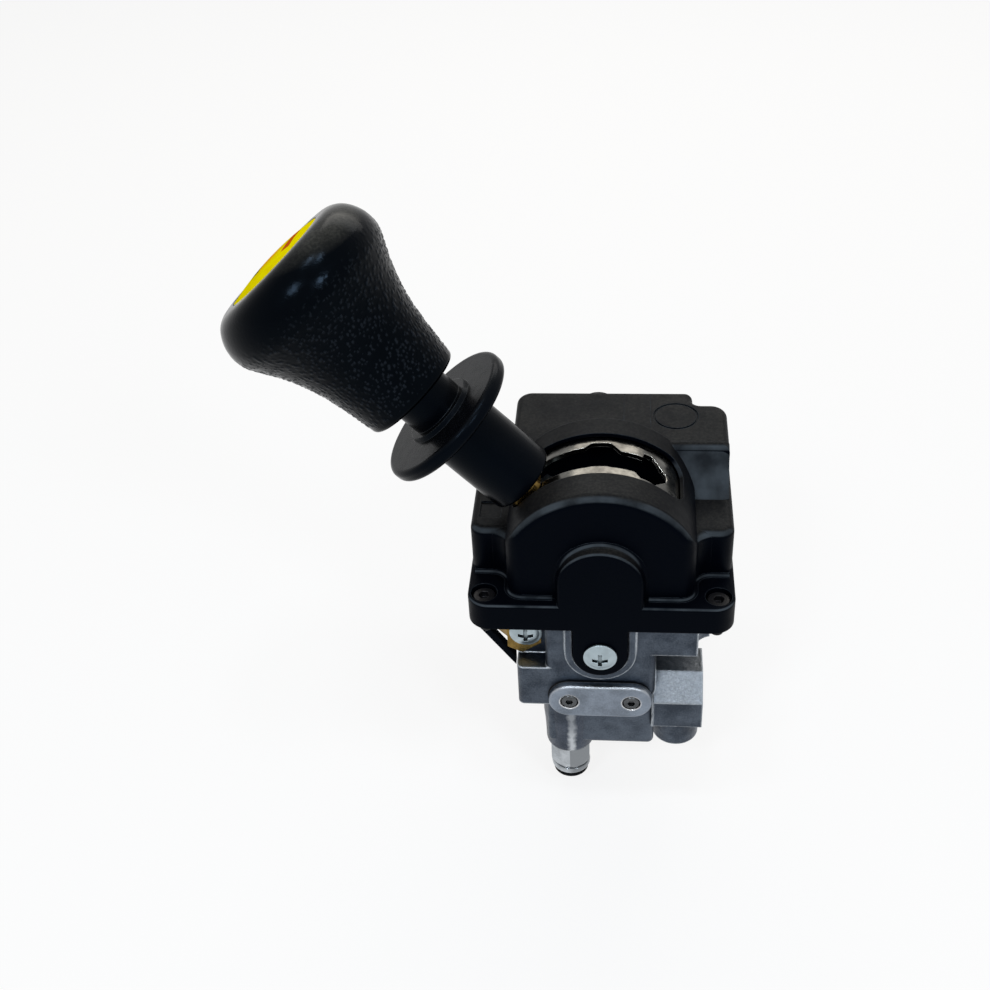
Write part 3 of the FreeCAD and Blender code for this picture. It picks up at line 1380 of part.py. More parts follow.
def make_fitting_form():
    """A push-in fitting with its mouth down and its thread up, from the seat at level 0."""
    fitting = new_body("fitting_form", kept=False)
    hexagon = "fitting_hex"
    pad(fitting, "hexagon_form", "XY", "-fitting_hex", "0", regular(6, "fitting_flats"))
    round_corner = "fitting_flats / 2 / cos(30)"
    groove(fitting, "hexagon_bevel", [
        ("fitting_flats / 2 - 0.2", "-%s - 0.1" % hexagon),
        (round_corner + " + 0.3", "-%s - 0.1" % hexagon),
        (round_corner + " + 0.3", "-%s + 1.5" % hexagon),
    ])
    turn(fitting, "nose", [
        ("tube_dia / 2 + 2", "-%s + 2" % hexagon),
        ("tube_dia / 2 + 2", "-%s - 3" % hexagon),
        ("tube_dia / 2 + 3", "-%s - 3" % hexagon),
        ("tube_dia / 2 + 3.4", "-%s - 1" % hexagon),
        ("tube_dia / 2 + 3.4", "-%s + 2" % hexagon),
    ])
    turn(fitting, "thread_form", [
        ("2.4", "-1"),
        ("4.45", "-1"),
        ("4.45", "7.4"),
        ("3.9", "8"),
        ("2.4", "8"),
    ])
    groove(fitting, "tube_bore", [
        ("0", "-%s - 4" % hexagon),
        ("tube_dia / 2 + 2", "-%s - 4" % hexagon),
        ("tube_dia / 2 + 2", "-%s + 5" % hexagon),
        ("tube_dia / 2 + running_gap", "-%s + 5" % hexagon),
        ("tube_dia / 2 + running_gap", "-1"),
        ("2", "-1"),
        ("2", "9"),
        ("0", "9"),
    ])
    return fitting


def make_ring_form():
    """The release ring of a push-in fitting: a thin sleeve with a flange at the mouth."""
    ring = new_body("release_ring_form", kept=False)
    hexagon = "fitting_hex"
    inner = "tube_dia / 2 + 0.15"
    sleeve = "tube_dia / 2 + 1.9"
    turn(ring, "ring_turned", [
        (inner + " + 0.5", "-%s - 5" % hexagon),
        (sleeve + " + 0.3", "-%s - 5" % hexagon),
        (sleeve + " + 0.8", "-%s - 4.5" % hexagon),
        (sleeve + " + 0.8", "-%s - 4.1" % hexagon),
        (sleeve, "-%s - 4.1" % hexagon),
        (sleeve, "-%s + 2.5" % hexagon),
        (inner, "-%s + 2.5" % hexagon),
        (inner, "-%s - 4.5" % hexagon),
    ])
    return ring


def make_fittings():
    """The outlet fitting under the body and the supply fitting at its back, with their release rings."""
    fitting = make_fitting_form()
    ring = make_ring_form()
    gap = size("seat_gap")
    outlet = shift(-size("boss_left"), -size("boss_ahead"), -size("boss_low") - gap)
    supply = shift(0, size("core_back") + 8 + gap, -size("port_low"), (1, 0, 0), 90)
    copies("outlet_fitting", fitting, [outlet])
    copies("supply_fitting", fitting, [supply])
    copies("outlet_release_ring", ring, [outlet])
    copies("supply_release_ring", ring, [supply])


def make_silencer():
    """The sintered bronze silencer in the exhaust port, under the back of the body."""
    base = new_body("silencer")
    low = "-core_low - 3 - seat_gap"
    pad(base, "silencer_hexagon", "XY", low + " - 4", low, regular(6, "13"))
    turn(base, "silencer_thread_form", [("0", low + " - 1"), ("4.45", low + " - 1"), ("4.45", low + " + 7"), ("0", low + " + 7")])
    end = low + " - 4 - silencer_long"
    turn(base, "sinter", [
        ("0", end),
        ("silencer_dia / 2 - 3", end, "3"),
        ("silencer_dia / 2", end + " + 3"),
        ("silencer_dia / 2", low + " - 3.5"),
        ("0", low + " - 3.5"),
    ])
    place(base, x="8", y="4")
    return base


def make_parts():
    make_cover()
    make_gate_plate()
    make_pivot_pin()
    make_pin_clips()
    make_cam()
    make_rod()
    make_lock_nut()
    make_collar()
    make_latch_plate()
    make_collar_spring()
    make_knob()
    make_knob_insert()
    make_label()
    make_valve_body()
    for side in (-1, 1):
        make_plunger(side)
        make_poppet(side)
        make_return_spring(side)
    make_guides()
    make_cover_screws()
    make_mount_screws()
    make_gate_screws()
    make_end_plate()
    make_side_bracket()
    make_fittings()
    make_silencer()


def check_and_write():
    """Every object has to be sound before anything is written."""
    doc.recompute()
    for item in doc.Objects:
        if {"Invalid", "Error"} & set(item.State):
            raise RuntimeError("%s: %s" % (item.Name, item.State))
    for item in nodes:
        if item.Shape.isNull() or not item.Shape.isValid():
            raise RuntimeError("%s has no valid shape" % item.Label)
    os.makedirs("parts", exist_ok=True)
    for item in nodes:
        item.Shape.exportStep("parts/%s.step" % item.Label)
        print(item.Label, len(item.Shape.Solids), round(item.Shape.Volume, 1))


make_parts()
check_and_write()
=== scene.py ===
# Tipper control valve: finishes, small details, stage and light around the fixed parts. Metres, Z up.
import itertools
import json
import math

import bmesh
import bpy
import numpy as np
from mathutils import Matrix, Vector


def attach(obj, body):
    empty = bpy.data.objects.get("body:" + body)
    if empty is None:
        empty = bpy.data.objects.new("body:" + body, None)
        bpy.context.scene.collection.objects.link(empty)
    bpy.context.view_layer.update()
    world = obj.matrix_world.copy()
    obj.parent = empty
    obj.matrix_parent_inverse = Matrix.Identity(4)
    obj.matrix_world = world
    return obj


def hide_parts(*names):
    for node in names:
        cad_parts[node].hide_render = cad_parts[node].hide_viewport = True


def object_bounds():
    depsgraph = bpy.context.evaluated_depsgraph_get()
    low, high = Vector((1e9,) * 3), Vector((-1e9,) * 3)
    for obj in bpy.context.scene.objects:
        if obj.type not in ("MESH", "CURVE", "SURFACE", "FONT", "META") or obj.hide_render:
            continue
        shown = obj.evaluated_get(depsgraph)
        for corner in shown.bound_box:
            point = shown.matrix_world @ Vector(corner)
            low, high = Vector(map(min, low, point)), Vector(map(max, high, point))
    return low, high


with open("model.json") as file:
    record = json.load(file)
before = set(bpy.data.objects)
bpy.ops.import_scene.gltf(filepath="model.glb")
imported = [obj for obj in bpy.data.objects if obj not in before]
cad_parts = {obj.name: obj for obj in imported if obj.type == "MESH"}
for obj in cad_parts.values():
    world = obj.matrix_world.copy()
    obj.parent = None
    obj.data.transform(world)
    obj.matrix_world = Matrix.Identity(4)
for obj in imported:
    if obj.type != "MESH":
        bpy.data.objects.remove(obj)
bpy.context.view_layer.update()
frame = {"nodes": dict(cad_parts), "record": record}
nodes = frame["nodes"]

MM = 0.001

# The camera, at the photograph's place and angle. Angles are in degrees, lens and sensor in millimetres.
CAMERA_PLACE = (0.00659, -0.33825, 0.28727)
CAMERA_YAW = -6.77
CAMERA_PITCH = -37.86
CAMERA_ROLL = -3.46
CAMERA_LENS = 50.14
CAMERA_SENSOR = 36
CAMERA_NEAREST = 0.01


def make_camera():
    """The camera, turned by its yaw, pitch and roll from a level look to the back."""
    yaw, pitch, roll = (math.radians(a) for a in (CAMERA_YAW, CAMERA_PITCH, CAMERA_ROLL))
    ahead = Vector((math.sin(yaw) * math.cos(pitch), math.cos(yaw) * math.cos(pitch), math.sin(pitch)))
    level = ahead.cross(Vector((0, 0, 1))).normalized()
    upright = level.cross(ahead)
    right = math.cos(roll) * level + math.sin(roll) * upright
    up = -math.sin(roll) * level + math.cos(roll) * upright
    turn = Matrix((right, up, -ahead)).transposed().to_4x4()
    data = bpy.data.cameras.new("camera")
    data.lens = CAMERA_LENS
    data.sensor_width = CAMERA_SENSOR
    data.clip_start = CAMERA_NEAREST
    camera = bpy.data.objects.new("camera", data)
    camera.matrix_world = Matrix.Translation(CAMERA_PLACE) @ turn
    bpy.context.scene.collection.objects.link(camera)
    bpy.context.scene.camera = camera


# Materials

# The part of a noise's range that most of its values lie in.
NOISE_LOW = 0.3
NOISE_HIGH = 0.7
# Rays that each edge or shade lookup sends out.
LOOKUP_RAYS = 6
# The colour sockets of a mix node, by number: share, first and second colour, and the result.
MIX_INPUTS = (0, 6, 7)
MIX_RESULT = 2


class Surface:
    """A procedural material. Textures lie in the object's own space, in millimetres."""

    def __init__(self, name, **values):
        """The values are plain ones for the shader's sockets, whose names have underscores for spaces."""
        self.material = bpy.data.materials.new(name)
        self.material.use_nodes = True
        self.tree = self.material.node_tree
        self.shader = self.tree.nodes["Principled BSDF"]
        for socket, value in values.items():
            self.set(socket.replace("_", " "), value)
        self.space = self.scaled((1, 1, 1))

    def feed(self, socket, value):
        """Links another node's output to a socket, or sets its plain value. A colour has three numbers."""
        if isinstance(value, bpy.types.NodeSocket):
            self.tree.links.new(value, socket)
        elif socket.type == "RGBA":
            socket.default_value = (*value, 1)
        else:
            socket.default_value = value

    def set(self, socket, value):
        """Feeds one of the shader's own sockets."""
        self.feed(self.shader.inputs[socket], value)

    def add(self, kind, inputs=(), out=0, **settings):
        """Adds a node. Its inputs are pairs of a name or number and a value or another node's output."""
        node = self.tree.nodes.new("ShaderNode" + kind)
        for name, value in settings.items():
            setattr(node, name, value)
        for name, value in inputs:
            self.feed(node.inputs[name], value)
        return node.outputs[out]

    def scaled(self, stretch):
        """Object coordinates in millimetres, stretched along the axes."""
        place = self.add("TexCoord", out="Object")
        return self.add("Mapping", [("Vector", place), ("Scale", tuple(x / MM for x in stretch))])

    def noise(self, scale, detail=3.0, rough=0.5, space=None):
        """Noise with about this many features to a millimetre."""
        inputs = [("Vector", space or self.space), ("Scale", scale), ("Detail", detail), ("Roughness", rough)]
        return self.add("TexNoise", inputs)

    def cells(self, scale):
        """Distance from the nearest of scattered points, with about this many to a millimetre."""
        return self.add("TexVoronoi", [("Vector", self.space), ("Scale", scale)])

    def math(self, operation, a, b=0.0):
        """One step of arithmetic."""
        return self.add("Math", [(0, a), (1, b)], operation=operation)

    def times(self, a, b):
        """Two values multiplied."""
        return self.math("MULTIPLY", a, b)

    def spread(self, value, low, high, to_low=0.0, to_high=1.0):
        """Maps a range to another one, clamped."""
        ends = [("From Min", low), ("From Max", high), ("To Min", to_low), ("To Max", to_high)]
        return self.add("MapRange", [("Value", value)] + ends)

    def mix(self, share, a, b):
        """Mixes two colours."""
        return self.add("Mix", zip(MIX_INPUTS, (share, a, b)), out=MIX_RESULT, data_type="RGBA")

    def split(self, vector):
        """The parts of a vector, by the names X, Y and Z."""
        node = self.tree.nodes.new("ShaderNodeSeparateXYZ")
        self.feed(node.inputs[0], vector)
        return node.outputs

    def normal(self):
        """The surface's own normal."""
        return self.add("NewGeometry", out="Normal")

    def rounded(self, radius_mm):
        """The normal as it would be with the edges rounded."""
        return self.add("Bevel", [("Radius", radius_mm * MM)], samples=LOOKUP_RAYS)

    def turned(self, rounded, low, high):
        """How far a rounded normal turns away from the surface's own."""
        pair = [(0, rounded), (1, self.normal())]
        alike = self.add("VectorMath", pair, out="Value", operation="DOT_PRODUCT")
        return self.spread(self.math("SUBTRACT", 1.0, alike), low, high)

    def facing_up(self, low, high):
        """1 where the surface faces up, 0 where it doesn't, by the height of its normal."""
        return self.spread(self.split(self.normal())["Z"], low, high)

    def edges(self, radius_mm, low=0.02, high=0.25):
        """1 along edges and 0 away from them."""
        return self.turned(self.rounded(radius_mm), low, high)

    def upper_edges(self, radius_mm, low, high):
        """1 along edges that face up on a slant, and 0 on level tops and elsewhere."""
        rounded = self.rounded(radius_mm)
        height = self.split(rounded)["Z"]
        raised = self.times(self.spread(height, 0.25, 0.6), self.turned(rounded, low, high))
        return self.times(raised, self.spread(height, 0.9, 0.99, 1.0, 0.0))

    def ridges(self):
        """1 on roundings that face up and forward, and 0 on flat faces."""
        way = self.split(self.normal())
        slanted = self.times(self.spread(way["Z"], 0.3, 0.5), self.spread(way["Z"], 0.8, 0.95, 1.0, 0.0))
        return self.times(slanted, self.spread(way["Y"], -0.4, -0.2, 1.0, 0.0))

    def open_to_light(self, reach_mm, low=0.3, high=0.85):
        """0 deep in recesses and 1 in the open."""
        seen = self.add("AmbientOcclusion", [("Distance", reach_mm * MM)], out="AO", samples=LOOKUP_RAYS)
        return self.spread(seen, low, high)

    def bump(self, height, depth_mm, strength=1.0, below=None):
        """Relief from a height, over an earlier relief or the surface's own normal."""
        inputs = [("Height", height), ("Distance", depth_mm * MM), ("Strength", strength)]
        if below is not None:
            inputs.append(("Normal", below))
        return self.add("Bump", inputs)

    def vary_roughness(self, pattern, low, high):
        """Roughness between two values, by a noise."""
        self.set("Roughness", self.spread(pattern, NOISE_LOW, NOISE_HIGH, low, high))


def shade(colour, gain):
    """A colour made darker or lighter."""
    return tuple(min(1.0, gain * c) for c in colour)


# The plastics' gloss is bluish. Their edges are rounded by this much in the shading.
PLASTIC_TINT = (0.5, 0.72, 1.0)
PLASTIC_EDGE_MM = 0.45
# Height over which the dust and painted sheen thin out, which paints shade on the lower faces,
# and what is left of them below.
DUST_AND_SHEEN_FADE_MM = 6
DUST_AND_SHEEN_BELOW = 0.04


def plastic(name, colour, dust_and_sheen, rough, specular, grain_mm, grain_deep_mm, painted_highlight, dust_and_sheen_from=0.35,
            above_mm=None, raised=False):
    """Moulded plastic: fine grain, a little dusting with a painted sheen on what faces up, painted edge
    highlights.

    The dusting and sheen start where the normal's height passes the level given for them. With above_mm, they
    thin out below that level, which paints shade on the lower faces, and the roundings get painted highlights
    too. With raised, so do the tops of the grain in the mesh.
    """
    s = Surface(name, Specular_IOR_Level=specular, Specular_Tint=PLASTIC_TINT)
    cloud = s.spread(s.noise(0.09, 4.0), NOISE_LOW, NOISE_HIGH, 0.45, 1.0)
    specks = s.spread(s.noise(1.1, 4.0, 0.7), 0.42, 0.72, 0.55, 1.25)
    # Dust, which also paints a sheen on what faces up.
    dust_and_sheen_share = s.times(s.facing_up(dust_and_sheen_from, 0.98), cloud)
    if above_mm is not None:
        # Painted shade: the dust and sheen thin out on the lower faces.
        height = s.split(s.space)["Z"]
        dust_and_sheen_share = s.times(dust_and_sheen_share, s.spread(height, above_mm - DUST_AND_SHEEN_FADE_MM, above_mm, DUST_AND_SHEEN_BELOW, 1.0))
    colour = s.mix(s.times(dust_and_sheen_share, specks), colour, dust_and_sheen)
    # Painted highlights along the edges that face up, in patches.
    highlight_patches = s.spread(s.noise(0.25), 0.35, 0.65, 0.35, 1.0)
    colour = s.mix(s.times(s.upper_edges(PLASTIC_EDGE_MM, 0.03, 0.2), highlight_patches), colour, painted_highlight)
    if above_mm is not None:
        # Painted highlights on the roundings that face up and forward.
        uneven = s.spread(s.noise(0.12), 0.35, 0.65, 0.25, 1.0)
        colour = s.mix(s.times(s.ridges(), uneven), colour, painted_highlight)
    if raised:
        # Painted highlights on the tops of the grain.
        tops = s.add("Attribute", attribute_name="raised", out="Fac")
        colour = s.mix(s.spread(tops, 0.2, 0.95), colour, painted_highlight)
    s.set("Base Color", colour)
    s.vary_roughness(s.noise(0.35, 4.0), rough - 0.06, rough + 0.06)
    s.set("Normal", s.bump(s.noise(1.0 / grain_mm, 2.0), grain_deep_mm, 1.0, s.rounded(PLASTIC_EDGE_MM)))
    return s.material


# How wide the cast metal's edges are rounded and carry a painted highlight, and how much brighter that
# highlight is than the painted light on its upper faces.
CAST_EDGE_MM = 0.9
CAST_EDGE_GAIN = 2.6
# A ground parting line whose brightness is a painted highlight: its colour, which also paints light on the
# plate metal's upper faces and edges, and the levels between which it grows to its full strength.
METAL_HIGHLIGHT = (0.50, 0.53, 0.56)
PARTING_HIGHLIGHT_FROM_MM = -44
PARTING_HIGHLIGHT_FULL_MM = -50


def cast_metal(name, colour, dark, bright, rough, grain_deep_mm, parting_highlight_at=None):
    """Die-cast aluminium: a sandy skin, clouds of oxide, painted shade in hollows, painted light on upper
    faces and painted highlights on edges.

    With the strip's place given, a ragged strip of ground metal, whose brightness is a painted highlight, runs
    down the face that many millimetres to the right, stronger lower down.
    """
    s = Surface(name, Metallic=1.0)
    cloud = s.spread(s.noise(0.11, 3.0, 0.55), 0.32, 0.68)
    speck = s.spread(s.noise(2.2, 5.0, 0.8), 0.35, 0.68, -0.4, 0.4)
    toned = s.mix(s.math("ADD", cloud, speck), dark, colour)
    uneven = s.spread(s.noise(1.3, 5.0, 0.75), 0.35, 0.65, 0.55, 1.0)
    # Painted light on what faces up.
    toned = s.mix(s.times(s.facing_up(0.2, 0.8), uneven), toned, bright)
    highlight_patches = s.spread(s.noise(0.5), 0.3, 0.6, 0.45, 1.0)
    # Painted shade in hollows, then painted highlights along the edges, in patches.
    toned = s.mix(s.open_to_light(6.0, 0.35, 0.9), dark, toned)
    toned = s.mix(s.times(s.edges(CAST_EDGE_MM, 0.01, 0.14), highlight_patches), toned, shade(bright, CAST_EDGE_GAIN))
    # A ground parting line down the face, its brightness a painted highlight that grows lower down.
    if parting_highlight_at is not None:
        place = s.split(s.space)
        off = s.math("ABSOLUTE", s.math("SUBTRACT", place["X"], parting_highlight_at))
        ragged = s.math("ADD", off, s.spread(s.noise(0.5, 4.0), NOISE_LOW, NOISE_HIGH, -0.5, 0.5))
        down = s.spread(place["Z"], PARTING_HIGHLIGHT_FROM_MM, PARTING_HIGHLIGHT_FULL_MM, 0.45, 1.0)
        toned = s.mix(s.times(s.spread(ragged, 0.4, 1.7, 1.0, 0.0), down), toned, METAL_HIGHLIGHT)
    s.set("Base Color", toned)
    s.vary_roughness(s.noise(0.9, 4.0), rough - 0.07, rough + 0.08)
    waves = s.bump(s.noise(0.22, 2.0), 0.5, 0.7, s.rounded(CAST_EDGE_MM))
    s.set("Normal", s.bump(s.noise(2.0, 4.0, 0.7), grain_deep_mm, 1.0, waves))
    return s.material


# Painted shade deep in recesses.
RECESS_PAINTED_SHADE = (0.004, 0.006, 0.008)
# How wide worked metal's edges show wear and a painted highlight, how strongly, and how wide they are rounded.
WORN_LIT_EDGE_MM = 0.35
WORN_LIT_EDGE_SHARE = 0.7
WORKED_EDGE_MM = 0.3


def worked_metal(name, colour, rough, stretch=(0.25, 6.0, 0.25), scratch_deep_mm=0.02, stain=0.15, metal=1.0,
                 painted_shade_within_mm=None, edge_gain=1.8, painted_right_shade=1.0):
    """Plated or machined metal: fine scratches along one axis, stains, smooth glints, and edges lighter for
    wear and a painted highlight, or with an edge gain below 1 darker as a painted line.

    The stretch sets the scratches' direction. With a recess size given, recesses of that size get painted
    shade, and with a side factor below 1 what faces right gets painted shade.
    """
    s = Surface(name, Metallic=metal)
    toned = s.mix(s.spread(s.noise(0.25, 4.0, 0.6), 0.4, 0.75), colour, shade(colour, 1 - stain))
    # Edges lighter by the edge gain, for wear and a painted highlight; a gain below 1 paints a dark line
    # instead.
    toned = s.mix(s.times(s.edges(WORN_LIT_EDGE_MM), WORN_LIT_EDGE_SHARE), toned, shade(colour, edge_gain))
    # Painted shade on what faces right.
    if painted_right_shade < 1.0:
        toned = s.mix(s.spread(s.split(s.normal())["X"], -0.2, 0.2), toned, shade(colour, painted_right_shade))
    # Painted shade in recesses.
    if painted_shade_within_mm is not None:
        toned = s.mix(s.open_to_light(painted_shade_within_mm), RECESS_PAINTED_SHADE, toned)
    s.set("Base Color", toned)
    scratches = s.noise(1.0, 3.0, 0.6, s.scaled(stretch))
    s.vary_roughness(scratches, rough - 0.06, rough + 0.08)
    dents = s.bump(s.noise(0.35, 2.0), 0.12, 0.5, s.rounded(WORKED_EDGE_MM))
    s.set("Normal", s.bump(scratches, scratch_deep_mm, 0.6, dents))
    return s.material


def rubber(name, colour):
    """Rubber or a soft plastic: dull, a little cloudy, with a fine grain."""
    s = Surface(name, Specular_IOR_Level=0.15)
    s.set("Base Color", s.mix(s.spread(s.noise(0.5), NOISE_LOW, NOISE_HIGH), colour, shade(colour, 1.8)))
    s.vary_roughness(s.noise(1.5), 0.6, 0.8)
    s.set("Normal", s.bump(s.noise(3.0), 0.05, 0.6))
    return s.material


def sintered(name, colour):
    """Sintered bronze: small grains pressed together."""
    s = Surface(name, Metallic=0.85)
    grains = s.cells(2.6)
    s.set("Base Color", s.mix(s.spread(grains, 0.05, 0.5), colour, shade(colour, 0.35)))
    s.vary_roughness(s.noise(1.2), 0.42, 0.6)
    s.set("Normal", s.bump(s.math("SUBTRACT", 1.0, grains), 0.2))
    return s.material


# The label's print: yellow in two tones, an orange middle, and bars. Each bar has its middle's distance to
# the right, its half width and half depth in millimetres, its strength and its colour.
LABEL_YELLOWS = (0.92, 0.74, 0.0), (0.96, 0.82, 0.0)
LABEL_ORANGE = (0.90, 0.36, 0.01)
LABEL_BARS = (
    (8.6, 1.4, 6.0, 1.0, (0.62, 0.10, 0.01)),
    (-13.0, 1.2, 5.0, 1.0, (0.40, 0.08, 0.02)),
    (-5.2, 1.5, 4.5, 0.85, (0.05, 0.06, 0.02)),
)
BAR_SOFT_MM = 0.4


def printed_label(name):
    """The label's film: yellow, with a soft orange middle, two red bars and a dark one."""
    s = Surface(name, Specular_IOR_Level=0.0)
    place = s.split(s.space)
    radius = s.add("VectorMath", [(0, s.space)], out="Value", operation="LENGTH")
    colour = s.mix(s.spread(s.noise(0.3, 2.0), 0.4, 0.6), *LABEL_YELLOWS)
    colour = s.mix(s.spread(radius, 2.0, 7.5, 0.85, 0.0), colour, LABEL_ORANGE)
    for middle, half, half_deep, strength, ink in LABEL_BARS:
        across = s.math("ABSOLUTE", s.math("SUBTRACT", place["X"], middle))
        wide = s.spread(across, half, half + BAR_SOFT_MM, strength, 0.0)
        deep = s.spread(s.math("ABSOLUTE", place["Y"]), half_deep, half_deep + BAR_SOFT_MM, 1.0, 0.0)
        colour = s.mix(s.times(wide, deep), colour, ink)
    s.set("Base Color", colour)
    s.vary_roughness(s.noise(0.8), 0.35, 0.45)
    s.set("Normal", s.bump(s.noise(0.6), 0.02, 0.5))
    return s.material


# The valve body's cast metal: its dark tone, for oxide clouds and painted shade in hollows, and its painted
# light on what faces up and on edges.
CAST_OXIDE_AND_SHADE = (0.034, 0.043, 0.058)
CAST_PAINTED_LIGHT = (0.24, 0.26, 0.28)
# The finish of each slot of the record: its kind and its values.
FINISHES = {
    # The plastics' dust colour also paints a sheen on what faces up, most on the knob's crown, and their edge
    # colour paints highlights.
    "cover_plastic": (plastic, dict(
        colour=(0.0004, 0.0009, 0.0026), dust_and_sheen=(0.026, 0.025, 0.023), rough=0.40, specular=0.030,
        grain_mm=0.45, grain_deep_mm=0.03, painted_highlight=(0.055, 0.065, 0.075), above_mm=24)),
    "knob_plastic": (plastic, dict(
        colour=(0.0003, 0.0005, 0.0010), dust_and_sheen=(0.060, 0.058, 0.050), rough=0.19, specular=0.055,
        grain_mm=0.9, grain_deep_mm=0.03, painted_highlight=(0.013, 0.016, 0.021), dust_and_sheen_from=0.78, raised=True)),
    "collar_plastic": (plastic, dict(
        colour=(0.0004, 0.0008, 0.0020), dust_and_sheen=(0.006, 0.006, 0.006), rough=0.24, specular=0.055,
        grain_mm=0.5, grain_deep_mm=0.01, painted_highlight=(0.05, 0.055, 0.06))),
    "label_yellow": (printed_label, {}),
    # The cast metals' light colours paint light on upper faces and edges; their dark ones tone oxide clouds
    # and paint shade in hollows.
    "cast_aluminium": (cast_metal, dict(
        colour=(0.095, 0.115, 0.145), dark=CAST_OXIDE_AND_SHADE, bright=CAST_PAINTED_LIGHT, rough=0.36, grain_deep_mm=0.10)),
    "plate_aluminium": (cast_metal, dict(
        colour=(0.25, 0.29, 0.35), dark=(0.15, 0.175, 0.21), bright=METAL_HIGHLIGHT, rough=0.34,
        grain_deep_mm=0.05)),
    # The gate plate's high edge gain paints glints along its edges.
    "gate_steel": (worked_metal, dict(
        colour=(0.15, 0.147, 0.135), rough=0.18, stretch=(0.3, 1.2, 0.3), scratch_deep_mm=0.05, stain=0.75,
        edge_gain=5.0)),
    "cam_steel": (worked_metal, dict(colour=(0.20, 0.20, 0.20), rough=0.3)),
    "zinc_yellow": (worked_metal, dict(
        colour=(0.24, 0.155, 0.045), rough=0.26, stretch=(1.5, 1.5, 1.5), scratch_deep_mm=0.04, stain=0.75)),
    # The screws' recesses get painted shade.
    "screw_steel": (worked_metal, dict(
        colour=(0.42, 0.50, 0.54), rough=0.36, stretch=(2.0, 0.3, 2.0), stain=0.25, painted_shade_within_mm=2.0)),
    "screw_black": (worked_metal, dict(colour=(0.012, 0.012, 0.014), rough=0.35, stain=0.3, metal=0.6)),
    "spring_steel": (worked_metal, dict(colour=(0.40, 0.40, 0.41), rough=0.3)),
    "brass": (worked_metal, dict(colour=(0.58, 0.40, 0.14), rough=0.25, stain=0.3)),
    # The fitting's low edge gain paints dark lines on its edges, and its side factor paints shade on what
    # faces right.
    "fitting_nickel": (worked_metal, dict(
        colour=(0.46, 0.49, 0.52), rough=0.14, stretch=(0.3, 0.3, 5.0), stain=0.45, edge_gain=0.25,
        painted_right_shade=0.5)),
    "sintered_bronze": (sintered, dict(colour=(0.42, 0.27, 0.12))),
    "seal_rubber": (rubber, dict(colour=(0.010, 0.010, 0.010))),
    "ring_plastic": (rubber, dict(colour=(0.008, 0.008, 0.009))),
}
# The end plate's screws lie deeper in their recesses; they are a darker steel than the others of their slot,
# with painted shade over a wider reach.
SUNK_STEEL = dict(colour=(0.10, 0.105, 0.11), rough=0.25, stain=0.5, painted_shade_within_mm=3.0)


def make_materials():
    """One material for each slot of the record."""
    return {slot: make(slot, **values) for slot, (make, values) in FINISHES.items()}


def dress(node, material):
    """Gives a fixed part one material."""
    nodes[node].data.materials.clear()
    nodes[node].data.materials.append(material)


def dress_nodes(materials):
    """Gives every fixed part the material of its slot, but the end plate's screws a darker steel."""
    for part in frame["record"]["subparts"]:
        dress(part["node"], materials[part["material_slot"]])
    dress("end_plate_screws", worked_metal("screw_recessed", **SUNK_STEEL))


# Mesh pieces

# The lever's place on the pivot, in metres and degrees: its lean to the left, its offset to the left of the
# pivot, and the bend below the knob.
PIVOT = (0.0, -0.012, 0.0175)
LEVER_LEAN = 43.2
LEVER_OFFSET = 0.0031
BEND_AT = 0.0895
KNOB_TILT = 7.2

# The faces of the solids that the pieces meet, in millimetres up from the flange's underside, to the right of
# the middle, or below zero to the front.
FLANGE_TOP = 9.5
SHOULDER_TOP = 26.0
SHOULDER_FRONT = -21.5
SHOULDER_ROUND = 2.4
DOME_HALF = 28.0
DOME_FRONT = -33.0
DOME_CORNER = 4.5
BOSS_RADIUS = 12.8
BOSS_MIDDLE = 17.5
OUTLET_ACROSS = -10.0


def bent_top():
    """The matrix of the lever's bent top, in which the knob stands upright from the pivot."""
    lean = Matrix.Rotation(math.radians(LEVER_LEAN), 4, Vector((0, -1, 0)))
    tilt = Matrix.Rotation(math.radians(KNOB_TILT), 4, Vector((-1, 0, 0)))
    bend = Matrix.Translation((0, 0, BEND_AT)) @ tilt @ Matrix.Translation((0, 0, -BEND_AT))
    return Matrix.Translation(PIVOT) @ lean @ Matrix.Translation((-LEVER_OFFSET, 0, 0)) @ bend


def arc(start, end, radius, step):
    """Points of an arc from start up to but not at end. A radius below zero bends it the other way, hollow."""
    (x1, y1), (x2, y2) = start, end
    half = math.hypot(x2 - x1, y2 - y1) / 2
    rise = math.copysign(math.sqrt(max(radius * radius - half * half, 0)), radius)
    cx = (x1 + x2) / 2 - (y2 - y1) / (2 * half) * rise
    cy = (y1 + y2) / 2 + (x2 - x1) / (2 * half) * rise
    first = math.atan2(y1 - cy, x1 - cx)
    last = math.atan2(y2 - cy, x2 - cx)
    if radius > 0 and last < first:
        last += 2 * math.pi
    if radius < 0 and last > first:
        last -= 2 * math.pi
    count = max(2, round(abs(last - first) * abs(radius) / step))
    angles = [first + (last - first) * i / count for i in range(count)]
    return [(cx + abs(radius) * math.cos(a), cy + abs(radius) * math.sin(a)) for a in angles]


def profile(corners, step):
    """Points about a step apart along an outline. A corner's third number is the next arc's radius."""
    points = []
    for index, corner in enumerate(corners[:-1]):
        start, end = corner[:2], corners[index + 1][:2]
        if len(corner) == 3:
            points += arc(start, end, corner[2], step)
        else:
            count = max(1, round(math.dist(start, end) / step))
            points += [tuple(a + (b - a) * i / count for a, b in zip(start, end)) for i in range(count)]
    return points + [corners[-1][:2]]


